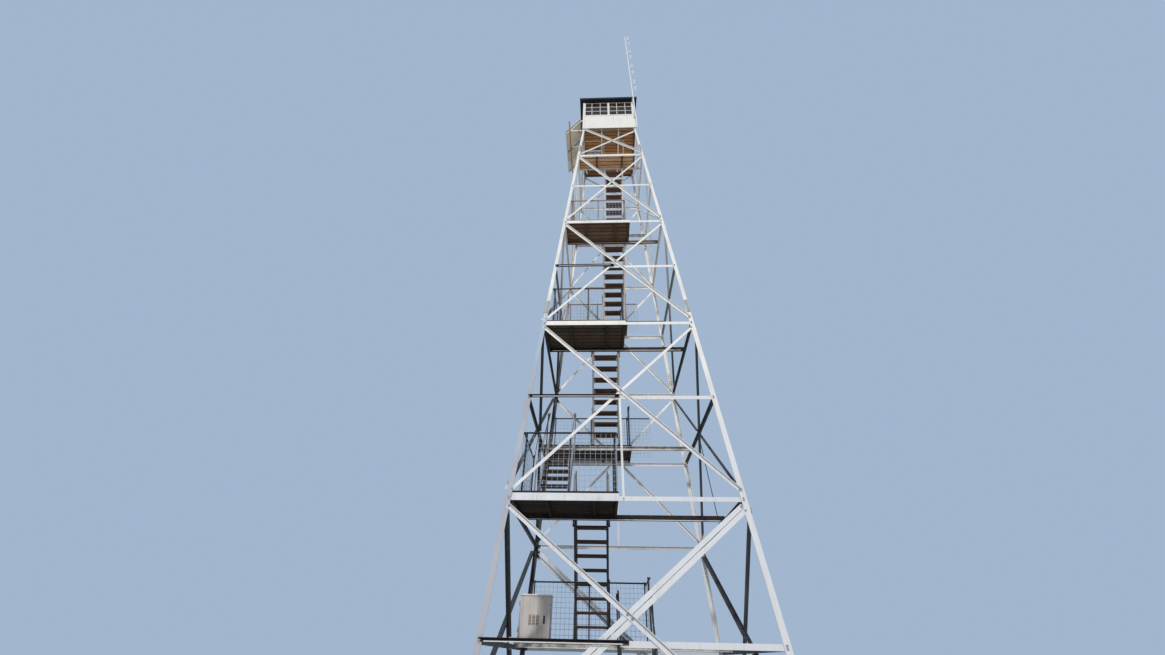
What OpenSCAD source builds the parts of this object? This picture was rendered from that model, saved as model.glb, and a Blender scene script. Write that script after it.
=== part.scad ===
/* [Tower frame] */
// Half the distance between the leg lines at ground level
ground_half = 2381; // [2300:1:2450]
// How much the half distance shrinks for each unit of height
taper = 0.07293; // [0.071:0.0005:0.075]
// Height of the lowest girt
low_girt = 1845; // [1800:5:1900]
// Height from one girt to the next, which is half a storey
half_storey = 2060; // [2000:5:2100]
// Thickness of the leg angles
leg_t = 12; // [10:1:14]
// Flange width of the leg angles, bottom length
leg_low_b = 100; // [96:1:110]
// Flange width of the leg angles, middle length
leg_mid_b = 90; // [86:1:95]
// Flange width of the leg angles, top length
leg_top_b = 80; // [76:1:85]
// Width of the brace angles
brace_b = 60; // [56:1:74]
// Width of the brace angles in the bottom storey
low_brace_b = 75; // [65:1:77]
// Gap between the paired angles of the bottom storey
pair_gap = 12; // [8:1:16]
// Width of the short flat bars that hang from the second girt
hanger_w = 40; // [35:1:60]
// Thickness of brace and girt angles
bar_t = 8; // [6:1:10]
// Height of the girts' upright flange
girt_h = 80; // [70:1:90]
// Depth of the girts' level flange
girt_d = 50; // [45:1:60]

/* [Footings] */
// Side of the square concrete piers
pier_side = 760; // [650:10:800]
// Height of the piers above the ground
pier_h = 200; // [150:10:300]
// Side of the steel base plates
plate_side = 360; // [320:10:420]
// Thickness of the steel base plates
plate_t = 20; // [16:1:25]

/* [Landings] */
// Thickness of the boards
board_t = 42; // [38:1:45]
// Depth of the joists
joist_h = 50; // [45:1:60]
// Inner edge of the front landings, measured from the tower's middle
front_edge = 590; // [560:5:620]
// Inner edge of the rear landings, measured from the tower's middle
rear_edge = 850; // [820:5:900]
// Depth of the beam under a landing's inner edge
beam_h = 100; // [90:5:120]
// Width of that beam
beam_w = 60; // [50:5:70]
// Right end of the front landing on level 1
end_1 = -100; // [-150:10:0]
// Right end of the front landing on level 2
end_2 = 200; // [150:10:300]
// Right end of the front landing on level 3
end_3 = 510; // [450:10:550]
// Right end of the front landing on level 4
end_4 = 900; // [850:10:930]
// Right end of the lowest rear landing
rear_end_0 = 650; // [640:10:750]
// Right end of the second rear landing
rear_end_1 = 390; // [350:10:500]
// Right end of the third rear landing
rear_end_2 = 460; // [420:10:520]
// Right end of the fourth rear landing
rear_end_3 = 600; // [560:10:680]

/* [Stairs] */
// Risers in each flight between landings
risers = 9; // [8:1:10]
// Going of each step
going = 175.6; // [160:0.1:190]
// Depth of each tread
tread_d = 215; // [190:5:230]
// Thickness of each tread
tread_t = 38; // [32:1:42]
// Depth of the stringer channels
stringer_h = 170; // [150:5:180]
// Flange width of the stringer channels
stringer_w = 45; // [40:1:50]
// Width of the lower flights over their stringers
flight_w = 700; // [680:1:715]
// Width of the top flight over its stringers
top_flight_w = 560; // [540:1:600]

/* [Guards] */
// Diameter of the handrail pipes
rail_dia = 34; // [30:1:38]
// Diameter of the posts
post_dia = 30; // [26:1:32]
// Height of the guard rails above their girt
guard_h = 1250; // [1150:10:1280]
// Right end of the long rail behind the second rear landing
rear_rail_1 = 995; // [950:5:1200]
// Right end of the long rail behind the third rear landing
rear_rail_2 = 850; // [800:5:1050]
// Right end of the guard rail on level 3
guard_end_3 = 400; // [380:10:480]
// Right end of the guard rail on level 4
guard_end_4 = 550; // [530:10:800]
// Height of the stair rails above the steps
stair_rail_h = 900; // [850:10:950]

/* [Cab] */
// Half the width of the cab over its walls
cab_half = 1045; // [1040:5:1055]
// Thickness of the walls
wall_t = 50; // [45:1:52]
// Height of the window sills above the cab floor
sill_h = 1048; // [1000:1:1050]
// Height of the windows
window_h = 1075; // [1000:5:1080]
// Height of the walls
wall_h = 2150; // [2140:1:2300]
// Width of each window
window_w = 970; // [900:5:970]
// Width of the post between two windows
mullion_w = 30; // [24:1:40]
// How far the eaves stand out from the walls
overhang = 150; // [130:5:200]
// Height of the fascia boards
fascia_h = 70; // [60:5:150]
// Rise of the roof above the fascia
roof_rise = 300; // [250:10:400]

/* [Aerial] */
// Sideways position of the mast halfway between its clamps
mast_x = 1052; // [1030:1:1060]
// How far the mast leans to the left, in degrees
mast_lean = 0.8; // [0:0.1:1]
// Gap between the eaves and the mast in front of them
mast_gap = 56; // [40:1:60]
// Top of the mast
mast_top = 27050; // [26500:50:27300]
// Diameter of the mast
mast_dia = 48; // [42:1:60]
// Height of each dipole loop
loop_h = 1030; // [900:10:1100]
// Distance from mast to loop
loop_out = 120; // [110:5:180]
// Distance from one dipole to the next
loop_pitch = 1643; // [1600:1:1680]
// Diameter of the dipoles' tubes
loop_tube = 22; // [14:1:24]
// Distance between the two sides of a loop
loop_w = 52; // [48:1:70]

/* [Solar panels] */
// Length of the panels up their slope
panel_len = 1120; // [1000:10:1200]
// Width of each panel
panel_w = 920; // [850:5:940]
// Thickness of each panel
panel_t = 40; // [30:1:45]
// Angle of the panels above the level
panel_tilt = 60; // [55:1:65]
// Diameter of the pipe under the panels' bars
solar_rail_dia = 42; // [34:1:44]
// How far the pipe stands out in front of the panels
solar_rail_out = 330; // [250:10:380]

/* [Equipment cabinet] */
// Width of the cabinet
case_w = 650; // [600:10:660]
// Depth of the cabinet
case_d = 360; // [300:10:380]
// Height of the cabinet
case_h = 760; // [700:10:800]
// Thickness of the cabinet's sheet
case_t = 5; // [4:1:8]

/* [Hidden] */
$fn = 32;

beta = atan(taper);
lean = atan(taper * sqrt(2));
leg_lap = 500;
// Side of the block that cuts a leg's foot off level with its base plate
foot_cut = 1000;
cab_level = low_girt + 8 * half_storey;
deck_top = joist_h + board_t;
floor_top = cab_level + deck_top;
wall_top = floor_top + wall_h;
eave_half = cab_half + overhang;
fascia_t = 30;
drip = 10;
mast_y = eave_half + mast_gap + mast_dia / 2;
// The inner braces lie this far behind the face, and the girts lie behind them
inner_y = leg_t + 1;
girt_y = inner_y + bar_t;
// Distance from a leg line to the end of a girt, and to the outer edge of its filler plate
girt_end = girt_y + girt_d + 4;
filler_out = 40;
filler_lap = 20;
foot_z = 330;
brace_in = 66;
pair_in = 82;
hanger_x = -20;
brace_gap = 175;
// How far the outer braces of the top storey stop under the cab
outer_gap = 10;
rise = half_storey / risers;
slope = rise / going;
// The first tread's middle, measured from the landing's edge
first_mid = 127.5;
low_rise = (low_girt + deck_top) / 8;
low_going = 150;
rail_inset = 108;
pane_t = 6;
ceiling_t = 25;
roof_t = 25;
clamp_w = 30;
clamp_h = 50;
// How far the clamps lie in front of the wall's right end
clamp_lap = 45;
// Heights of the mast's foot and of its two clamps, measured from the cab floor
mast_foot = -400;
clamp_places = [750, 1950];
// Height over the cab floor at which the lean leaves the mast where it is
lean_place = 1350;
// Distance from the mast's top to the highest loop
mast_tip = 20;
boom_dia = 28;
sash_t = 40;
sash_w = 28;
// Clearance between pieces that lie against each other
seat_gap = 0.2;
joist_places = [0, 0.32, 0.78, 1];
hatch_x1 = -985;
hatch_x2 = -330;
hatch_y1 = -110;
hatch_y2 = rear_edge;
cab_joist_places = [hatch_x2 + 10, 350];
panel_gap = 10;
panel_x = -1180;
panel_z = 19300;
panel_y1 = -1010;
bracket_places = [-950, -270, 370];
bracket_w = 40;
arm_h = 34;
arm_inset = 4;
solar_rail_place = 945;
solar_rail_rear = 80;
case_x = -2150;
case_y = 950;
door_gap = 5;
door_t = 20;
hinge_out = 10;
hinge_play = 0.3;
handle_w = 40;
handle_h = 140;
handle_out = 25;
// Distances of the handle's corner from the door's left edge and the landing
handle_right = 510;
handle_up = 260;
knuckle_dia = 16;
knuckle_h = 40;
pin_dia = 8;
hinge_heights = [110, 580];

function level(n) = low_girt + n * half_storey;
function half_at(z) = ground_half - taper * z;

// Frames and sections

module on_face(k) {
    rotate([0, 0, 90 * k])
        translate([0, -ground_half, 0])
            rotate([-beta, 0, 0])
                children();
}

module angle_section(b, t, side, dir, d) {
    polygon([
        [-side * b / 2, 0],
        [side * b / 2, 0],
        [side * b / 2, dir * d],
        [side * (b / 2 - t), dir * d],
        [side * (b / 2 - t), dir * t],
        [-side * b / 2, dir * t]
    ]);
}

// A bar in a face, from one point to another, its section standing off the face
module face_bar(x1, z1, x2, z2, y) {
    run = x2 - x1;
    up = z2 - z1;
    translate([x1, y, z1])
        rotate([0, atan2(run, up), 0])
            linear_extrude(norm([run, up]))
                children();
}

module pipe(a, b, d) {
    v = b - a;
    translate(a)
        rotate([0, acos(v[2] / norm(v)), atan2(v[1], v[0])])
            cylinder(d = d, h = norm(v));
}

module block(x1, x2, y1, y2, z1, z2) {
    translate([x1, y1, z1])
        cube([x2 - x1, y2 - y1, z2 - z1]);
}

// Footings

module concrete_piers() {
    color([0.62, 0.6, 0.57])
        for (k = [0:3])
            rotate([0, 0, 90 * k])
                translate([ground_half - pier_side / 2 - 40, ground_half - pier_side / 2 - 40, 0])
                    cube([pier_side, pier_side, pier_h]);
}

module base_plates() {
    color([0.6, 0.62, 0.64])
        for (k = [0:3])
            rotate([0, 0, 90 * k])
                translate([half_at(pier_h) - plate_side / 2 - 30, half_at(pier_h) - plate_side / 2 - 30, pier_h])
                    cube([plate_side, plate_side, plate_t]);
}

// Legs, each an angle in three lengths that get narrower upwards

module leg_length(b, z1, z2) {
    translate([0, 0, z1 / cos(lean)])
        linear_extrude((z2 - z1) / cos(lean))
            polygon([[0, 0], [b, 0], [b, leg_t], [leg_t, leg_t], [leg_t, b], [0, b]]);
}

module leg(k) {
    color([0.72, 0.74, 0.76])
        rotate([0, 0, 90 * k])
            difference() {
                translate([ground_half, -ground_half, 0])
                    rotate([0, 0, 135])
                        rotate([0, lean, 0])
                            rotate([0, 0, -45])
                                union() {
                                    leg_length(leg_low_b, 100, level(3) + leg_lap);
                                    leg_length(leg_mid_b, level(3) + leg_lap - 5, level(7) + leg_lap);
                                    leg_length(leg_top_b, level(7) + leg_lap - 5, cab_level + joist_h - 10);
                                }
                translate([ground_half - foot_cut / 2, -ground_half - foot_cut / 2, 0])
                    cube([foot_cut, foot_cut, pier_h + plate_t]);
            }
}

module front_right_leg() {
    leg(0);
}

module rear_right_leg() {
    leg(1);
}

module rear_left_leg() {
    leg(2);
}

module front_left_leg() {
    leg(3);
}

// Girts, the level angles of one side, with a filler plate at each end

module girt(n, start, sides) {
    top = level(n) / cos(beta);
    w = half_at(level(n));
    union() {
        translate([0, 0, top - girt_h / 2])
            face_bar(start, 0, w - girt_end, 0, girt_y)
                rotate([0, 0, 180])
                    angle_section(girt_h, bar_t, 1, -1, girt_d);
        for (s = sides)
            translate([s * (w - (girt_end + filler_lap + filler_out) / 2), inner_y, top - girt_h])
                translate([-(girt_end + filler_lap - filler_out) / 2, 0, 0])
                    cube([girt_end + filler_lap - filler_out, bar_t, girt_h]);
    }
}

module side_girts(k, levels) {
    color([0.74, 0.76, 0.78])
        on_face(k)
            for (n = levels)
                girt(n, -half_at(level(n)) + girt_end, [-1, 1]);
}

// On three levels the front girt is two angles. The right one laps behind the crossing of the
// braces, and the left one lies on the outside with its level flange turned outwards
split_levels = [0, 2, 4];
half_lap = 150;
half_end = 30;
half_h = 50;

module front_girts() {
    side_girts(0, [1, 3, 5, 6, 7, 8]);
    color([0.74, 0.76, 0.78])
        on_face(0)
            for (n = split_levels)
                girt(n, -half_lap, [1]);
}

module front_half_girts() {
    color([0.25, 0.22, 0.2])
        on_face(0)
            for (n = split_levels) {
                w = half_at(level(n));
                top = level(n) / cos(beta);
                union() {
                    block(-w + filler_out, -half_end, -bar_t, 0, top - half_h, top);
                    block(-w + filler_out, -half_end, -girt_d, 0, top - bar_t, top);
                }
            }
}

module right_girts() {
    side_girts(1, [0:8]);
}

module rear_girts() {
    side_girts(2, [0:8]);
}

module left_girts() {
    side_girts(3, [0:8]);
}

// Braces, one pair crossed in each storey of each side

function storey_low(n) = n == 0 ? foot_z : level(2 * n - 1) + brace_gap - girt_h;
function storey_high(n) = n == 4 ? cab_level - brace_gap : level(2 * n + 1) - brace_gap;
function outer_high(n) = n == 4 ? cab_level - outer_gap : storey_high(n);
function brace_size(n) = n == 0 ? low_brace_b : brace_b;

module storey_brace(n, to, in) {
    z1 = storey_low(n);
    z2 = to < 0 ? outer_high(n) : storey_high(n);
    face_bar(-to * (half_at(z1) - in), z1 / cos(beta), to * (half_at(z2) - in), z2 / cos(beta), 0)
        children();
}

module outer_braces() {
    color([0.76, 0.78, 0.8])
        for (k = [0:3])
            on_face(k)
                for (n = [0:4])
                    storey_brace(n, -1, brace_in)
                        angle_section(brace_size(n), bar_t, 1, -1, brace_size(n));
}

// The inner braces' ribs are cut away where they cross a girt and the boards over it
module rib_cut(n) {
    difference() {
        translate([0, inner_y, 0])
            children();
        translate([-ground_half, girt_y - 0.5, level(2 * n) / cos(beta) - girt_h - 4])
            cube([2 * ground_half, 200, girt_h + deck_top + 14]);
    }
}

module inner_braces() {
    color([0.76, 0.78, 0.8])
        for (k = [0:3])
            on_face(k) {
                for (s = [-1, 1])
                    rib_cut(0)
                        storey_brace(0, 1, pair_in)
                            translate([s * (low_brace_b + pair_gap) / 2, 0])
                                angle_section(low_brace_b, bar_t, -s, 1, low_brace_b);
                for (n = [1:4])
                    rib_cut(n)
                        storey_brace(n, 1, brace_in)
                            angle_section(brace_b, bar_t, -1, 1, brace_b);
            }
}

module centre_hangers() {
    color([0.76, 0.78, 0.8])
        for (k = [0:3])
            on_face(k)
                face_bar(hanger_x, level(1) / cos(beta) - girt_h + 10, hanger_x, level(2) / cos(beta) - 10, inner_y)
                    translate([-hanger_w / 2, 0])
                        square([hanger_w, bar_t]);
}

// Landings: a coped channel under each inner edge, joists across, boards on top

module cross_beam(n) {
    w = half_at(level(n));
    z = level(n);
    union() {
        block(-w + girt_end + 5, w - girt_end - 5, -beam_w, -beam_w + bar_t, z + joist_h - beam_h, z + joist_h);
        block(-w + girt_end + 5, w - girt_end - 5, -beam_w, 0, z + joist_h - beam_h, z + joist_h - beam_h + 10);
        block(-w + 45, w - 45, -beam_w, 0, z + joist_h - 10, z + joist_h);
        block(-w + 45, w - 45, -beam_w, -beam_w + bar_t, z, z + joist_h);
        block(-w + 45, -w + girt_end + 5, -beam_w, 0, z, z + 10);
        block(w - girt_end - 5, w - 45, -beam_w, 0, z, z + 10);
    }
}

module landing_beams() {
    color([0.5, 0.51, 0.52])
        union() {
            for (n = [1, 3, 5, 7])
                translate([0, -front_edge, 0])
                    cross_beam(n);
            for (n = [0, 2, 4, 6])
                rotate([0, 0, 180])
                    translate([0, -rear_edge, 0])
                        cross_beam(n);
        }
}

function deck_out(n) = half_at(level(n) + deck_top) - 30;

module joist_row(n, x1, x2, edge) {
    z = level(n);
    for (p = joist_places)
        block(x1 + (x2 - x1 - joist_h) * p, x1 + (x2 - x1 - joist_h) * p + joist_h,
            -half_at(z) + girt_y + 15, -edge - beam_w - seat_gap, z, z + joist_h);
}

module deck(n, x1, x2, edge) {
    block(x1, x2, -deck_out(n), -edge, level(n) + joist_h, level(n) + deck_top);
}

// A plate that stands on the girt and closes the joists' outer ends
module landing_rim(n, x1, x2) {
    out = -half_at(level(n)) + girt_y + 15 - seat_gap;
    block(x1, x2, out - bar_t, out, level(n), level(n) + joist_h - seat_gap);
}

module landing_rims() {
    color([0.74, 0.76, 0.78])
        union() {
            landing_rim(1, -deck_out(1), end_1);
            landing_rim(3, -deck_out(3), end_2);
            landing_rim(5, -deck_out(5), end_3);
            landing_rim(7, -deck_out(7), end_4);
            rotate([0, 0, 180]) {
                landing_rim(0, -rear_end_0, deck_out(0));
                landing_rim(2, -rear_end_1, deck_out(2));
                landing_rim(4, -rear_end_2, deck_out(4));
                landing_rim(6, -rear_end_3, deck_out(6));
            }
        }
}

module landing_joists() {
    color([0.42, 0.4, 0.38])
        union() {
            joist_row(1, -deck_out(1), end_1, front_edge);
            joist_row(3, -deck_out(3), end_2, front_edge);
            joist_row(5, -deck_out(5), end_3, front_edge);
            joist_row(7, -deck_out(7), end_4, front_edge);
            rotate([0, 0, 180]) {
                joist_row(0, -rear_end_0, deck_out(0), rear_edge);
                joist_row(2, -rear_end_1, deck_out(2), rear_edge);
                joist_row(4, -rear_end_2, deck_out(4), rear_edge);
                joist_row(6, -rear_end_3, deck_out(6), rear_edge);
            }
        }
}

module front_landing_decks() {
    color([0.36, 0.29, 0.23])
        union() {
            deck(1, -deck_out(1), end_1, front_edge);
            deck(3, -deck_out(3), end_2, front_edge);
            deck(5, -deck_out(5), end_3, front_edge);
            deck(7, -deck_out(7), end_4, front_edge);
        }
}

module rear_landing_decks() {
    color([0.36, 0.29, 0.23])
        rotate([0, 0, 180])
            union() {
                deck(0, -rear_end_0, deck_out(0), rear_edge);
                deck(2, -rear_end_1, deck_out(2), rear_edge);
                deck(4, -rear_end_2, deck_out(4), rear_edge);
                deck(6, -rear_end_3, deck_out(6), rear_edge);
            }
}

// Stairs. A flight falls towards +Y from the origin, its top step one riser below the origin

module slope_band(m, drop, top, bottom) {
    upper_end = top > 0 ? [[top / m, 0]] : [[0, top]];
    corner = top > 0 && bottom < 0 ? [[0, 0]] : [];
    lower_end = bottom > 0 ? [[bottom / m, 0]] : [[0, bottom]];
    foot = [[(bottom + drop) / m, -drop], [(top + drop) / m, -drop]];
    polygon(concat(upper_end, corner, lower_end, foot));
}

module stringer(m, drop, mid, side) {
    reach = stringer_h / 2 * sqrt(1 + m * m);
    skin = bar_t * sqrt(1 + m * m);
    rotate([90, 0, 90])
        union() {
            translate([0, 0, side > 0 ? -stringer_w : stringer_w - bar_t])
                linear_extrude(bar_t)
                    slope_band(m, drop, mid + reach, mid - reach);
            translate([0, 0, side > 0 ? -stringer_w : 0])
                linear_extrude(stringer_w)
                    slope_band(m, drop, mid + reach, mid + reach - skin);
            translate([0, 0, side > 0 ? -stringer_w : 0])
                linear_extrude(stringer_w)
                    slope_band(m, drop, mid - reach + skin, mid - reach);
        }
}

module flight_stringers(w, step_rise, step_going, drop) {
    m = step_rise / step_going;
    mid = -step_rise - tread_t / 2 + first_mid * m;
    stringer(m, drop, mid, -1);
    translate([w, 0, 0])
        stringer(m, drop, mid, 1);
}

module flight_treads(w, step_rise, step_going, count) {
    for (i = [1:count])
        block(stringer_w, w - stringer_w, (i - 1) * step_going + first_mid - tread_d / 2,
            (i - 1) * step_going + first_mid + tread_d / 2, -i * step_rise - tread_t, -i * step_rise);
}

module stair_rail(x, step_rise, step_going, drop) {
    m = step_rise / step_going;
    y1 = 20;
    y2 = drop / m;
    pipe([x, y1, stair_rail_h - y1 * m], [x, y2, stair_rail_h - y2 * m], rail_dia);
}

module stair_posts(x, step_rise, step_going, drop) {
    m = step_rise / step_going;
    for (y = [90, drop / m - 100])
        pipe([x, y, -y * m - 120], [x, y, stair_rail_h + 45 - y * m], post_dia);
}

module flight_rails(w, step_rise, step_going, drop) {
    for (x = [rail_dia / 2, w - rail_dia / 2])
        stair_rail(x, step_rise, step_going, drop);
}

module flight_posts(w, step_rise, step_going, drop) {
    for (x = [-post_dia / 2 - seat_gap, w + post_dia / 2 + seat_gap])
        stair_posts(x, step_rise, step_going, drop);
}

// Places a flight by its left side. Flights that rise to the front landings fall to the rear,
// and the others are turned half round
module to_front(x, n) {
    translate([x, -front_edge, level(n) + deck_top])
        children();
}

module to_rear(x, w, y, n) {
    translate([x + w, y, level(n) + deck_top])
        rotate([0, 0, 180])
            children();
}

flight_a = -967;
flight_b = -1800;
flight_c = -625;
flight_d = -1450;
flight_e = -310;
flight_f = -1140;
flight_g = -217;
flight_h = -940;
flight_0 = -85;

module each_flight() {
    to_front(flight_a, 1)
        children();
    to_rear(flight_b, flight_w, rear_edge, 2)
        children();
    to_front(flight_c, 3)
        children();
    to_rear(flight_d, flight_w, rear_edge, 4)
        children();
    to_front(flight_e, 5)
        children();
    to_rear(flight_f, flight_w, rear_edge, 6)
        children();
    to_front(flight_g, 7)
        children();
}

module stair_stringers() {
    color([0.66, 0.66, 0.64])
        union() {
            each_flight()
                flight_stringers(flight_w, rise, going, half_storey);
            to_rear(flight_0, flight_w, rear_edge, 0)
                flight_stringers(flight_w, low_rise, low_going, low_girt + deck_top);
            to_rear(flight_h, top_flight_w, rear_edge, 8)
                flight_stringers(top_flight_w, rise, going, half_storey);
        }
}

module stair_treads() {
    color([0.33, 0.28, 0.24])
        union() {
            each_flight()
                flight_treads(flight_w, rise, going, risers - 1);
            to_rear(flight_0, flight_w, rear_edge, 0)
                flight_treads(flight_w, low_rise, low_going, 7);
            to_rear(flight_h, top_flight_w, rear_edge, 8)
                flight_treads(top_flight_w, rise, going, risers - 1);
        }
}

module stair_handrails() {
    color([0.6, 0.61, 0.62])
        union() {
            each_flight()
                flight_rails(flight_w, rise, going, half_storey);
            to_rear(flight_0, flight_w, rear_edge, 0)
                flight_rails(flight_w, low_rise, low_going, low_girt + deck_top);
        }
}

module stair_rail_posts() {
    color([0.6, 0.61, 0.62])
        union() {
            each_flight()
                flight_posts(flight_w, rise, going, half_storey);
            to_rear(flight_0, flight_w, rear_edge, 0)
                flight_posts(flight_w, low_rise, low_going, low_girt + deck_top);
        }
}

// Guards: a pipe rail along the outer edge and the open ends of each landing, the end rails
// just under the other, on posts that stand on the boards

function rail_in(n) = half_at(level(n) + guard_h) - rail_inset;
function rail_leg(n) = half_at(level(n) + guard_h) - leg_t - 2;

module guard_rails(n, r1, r2, ends, edge) {
    out = rail_in(n);
    translate([0, 0, level(n) + guard_h]) {
        pipe([r1, -out, 0], [r2, -out, 0], rail_dia);
        for (x = ends)
            pipe([x, -out - 20, -rail_dia], [x, -edge - 60, -rail_dia], rail_dia);
    }
}

module guard_posts(n, x1, x2, ends, edge) {
    out = rail_in(n);
    side = (rail_dia + post_dia) / 2 + seat_gap;
    for (x = [x1 + side, (x1 + x2) / 2, x2 - side])
        pipe([x, -out + side, level(n) + deck_top], [x, -out + side, level(n) + guard_h + 20], post_dia);
    for (x = ends)
        pipe([x + (x < (x1 + x2) / 2 ? side : -side), -edge - 150, level(n) + deck_top],
            [x + (x < (x1 + x2) / 2 ? side : -side), -edge - 150, level(n) + guard_h - 10], post_dia);
}

module each_front_guard() {
    for (i = [0:3]) {
        $guard_level = 2 * i + 1;
        $guard_left = -rail_in($guard_level);
        $guard_right = [end_1 - 20, end_2 - 20, guard_end_3, guard_end_4][i];
        $rail_left = -rail_leg($guard_level);
        $rail_right = $guard_right + 20;
        $guard_ends = [$guard_left, $guard_right];
        $guard_edge = front_edge;
        children();
    }
}

// The rear landings are turned half round, so that their open end is on the left here
module each_rear_guard() {
    rotate([0, 0, 180])
        for (i = [0:3]) {
            $guard_level = 2 * i;
            $guard_left = -[rear_end_0, rear_end_1, rear_end_2, rear_end_3][i] + 20;
            $guard_right = rail_in($guard_level);
            $rail_left = -[rear_end_0, rear_rail_1, rear_rail_2, rear_end_3][i];
            $rail_right = rail_leg($guard_level);
            $guard_ends = [$guard_left];
            $guard_edge = rear_edge;
            children();
        }
}

module front_landing_guards() {
    color([0.3, 0.31, 0.33])
        each_front_guard()
            guard_rails($guard_level, $rail_left, $rail_right, $guard_ends, $guard_edge);
}

module rear_landing_guards() {
    color([0.3, 0.31, 0.33])
        each_rear_guard()
            guard_rails($guard_level, $rail_left, $rail_right, $guard_ends, $guard_edge);
}

module landing_guard_posts() {
    color([0.3, 0.31, 0.33])
        union() {
            each_front_guard()
                guard_posts($guard_level, $guard_left, $guard_right, $guard_ends, $guard_edge);
            each_rear_guard()
                guard_posts($guard_level, $guard_left, $guard_right, $guard_ends, $guard_edge);
        }
}

// Cab

module cab_floor() {
    color([0.45, 0.36, 0.27])
        difference() {
            block(-cab_half, cab_half, -cab_half, cab_half, cab_level + joist_h, floor_top);
            block(hatch_x1, hatch_x2, hatch_y1, hatch_y2, cab_level, floor_top + 10);
        }
}

module cab_floor_joists() {
    w = half_at(cab_level) - girt_y - 12;
    color([0.4, 0.34, 0.28])
        union() {
            for (x = cab_joist_places)
                block(x, x + joist_h, -w, w, cab_level, cab_level + joist_h);
            for (y = [hatch_y1 - joist_h, hatch_y2])
                block(-w, hatch_x2 + 10, y, y + joist_h, cab_level, cab_level + joist_h);
        }
}

module cab_wall(k) {
    span = k % 2 == 0 ? cab_half : cab_half - wall_t;
    color([0.93, 0.93, 0.9])
        rotate([0, 0, 90 * k])
            difference() {
                block(-span, span, -cab_half, -cab_half + wall_t, floor_top, wall_top);
                for (s = [-1, 1])
                    translate([s * (window_w + mullion_w) / 2 - window_w / 2, -cab_half - 10, floor_top + sill_h])
                        cube([window_w, wall_t + 20, window_h]);
            }
}

module front_cab_wall() {
    cab_wall(0);
}

module right_cab_wall() {
    cab_wall(1);
}

module rear_cab_wall() {
    cab_wall(2);
}

module left_cab_wall() {
    cab_wall(3);
}

module each_window() {
    for (k = [0:3])
        rotate([0, 0, 90 * k])
            for (s = [-1, 1])
                translate([s * (window_w + mullion_w) / 2, -cab_half, floor_top + sill_h])
                    children();
}

module window_sashes() {
    color([0.95, 0.95, 0.93])
        each_window()
            difference() {
                block(-window_w / 2, window_w / 2, 5, 5 + sash_t, 0, window_h);
                block(-window_w / 2 + sash_w, window_w / 2 - sash_w, 0, 60, sash_w, window_h - sash_w);
            }
}

module window_panes() {
    color([0.2, 0.24, 0.28, 0.4])
        each_window()
            block(-window_w / 2 + sash_w, window_w / 2 - sash_w, 5 + sash_t / 2 - pane_t / 2,
                5 + sash_t / 2 + pane_t / 2, sash_w, window_h - sash_w);
}

module cab_ceiling() {
    color([0.5, 0.44, 0.38])
        block(-eave_half + fascia_t, eave_half - fascia_t, -eave_half + fascia_t, eave_half - fascia_t,
            wall_top, wall_top + ceiling_t);
}

module fascia_boards() {
    color([0.2, 0.2, 0.2])
        difference() {
            block(-eave_half, eave_half, -eave_half, eave_half, wall_top, wall_top + fascia_h);
            block(-eave_half + fascia_t, eave_half - fascia_t, -eave_half + fascia_t, eave_half - fascia_t,
                wall_top - 10, wall_top + fascia_h + 10);
        }
}

module roof_solid(half, up) {
    intersection() {
        translate([-half, 0, 0])
            rotate([90, 0, 90])
                linear_extrude(2 * half)
                    polygon([[-half, 0], [half, 0], [half, 15], [0, up], [-half, 15]]);
        translate([0, half, 0])
            rotate([90, 0, 0])
                linear_extrude(2 * half)
                    polygon([[-half, 0], [half, 0], [half, 15], [0, up], [-half, 15]]);
    }
}

module hip_roof() {
    z = wall_top + fascia_h;
    color([0.3, 0.3, 0.3])
        difference() {
            translate([0, 0, z])
                roof_solid(eave_half + drip, roof_rise);
            translate([0, 0, z - roof_t])
                roof_solid(eave_half - fascia_t - drip, roof_rise);
        }
}

// Aerial

// Heights inside are measured from the cab floor along the leaning mast
module along_mast() {
    translate([mast_x, -mast_y, floor_top + lean_place])
        rotate([0, -mast_lean, 0])
            translate([0, 0, -lean_place])
                children();
}

module aerial_mast() {
    color([0.8, 0.8, 0.8])
        along_mast()
            translate([0, 0, mast_foot])
                cylinder(d = mast_dia, h = mast_top - floor_top - mast_foot);
}

module aerial_dipole(z) {
    x1 = mast_dia / 2 + loop_out - loop_w / 2;
    x2 = x1 + loop_w;
    union() {
        pipe([mast_dia / 2, 0, z + loop_h / 2], [x1, 0, z + loop_h / 2], boom_dia);
        for (x = [x1, x2])
            pipe([x, 0, z], [x, 0, z + loop_h], loop_tube);
        for (h = [loop_tube / 2, loop_h - loop_tube / 2])
            pipe([x1, 0, z + h], [x2, 0, z + h], loop_tube - 2);
    }
}

module aerial_dipoles() {
    color([0.85, 0.85, 0.85])
        along_mast()
            for (i = [0:3])
                aerial_dipole(mast_top - floor_top - mast_tip - loop_h - i * loop_pitch);
}

module aerial_clamps() {
    color([0.55, 0.55, 0.55])
        for (z = clamp_places)
            block(cab_half - clamp_lap, mast_x + clamp_w / 2, -mast_y + mast_dia / 2, -cab_half,
                floor_top + z, floor_top + z + clamp_h);
}

// Solar panels on the left side, carried by three triangular brackets

module on_slope() {
    translate([panel_x, 0, panel_z])
        rotate([0, 180 - panel_tilt, 0])
            children();
}

module solar_panels() {
    color([0.12, 0.14, 0.2])
        on_slope()
            for (i = [0, 1])
                translate([0, panel_y1 + i * (panel_w + panel_gap), 0])
                    cube([panel_len, panel_w, panel_t]);
}

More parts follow.
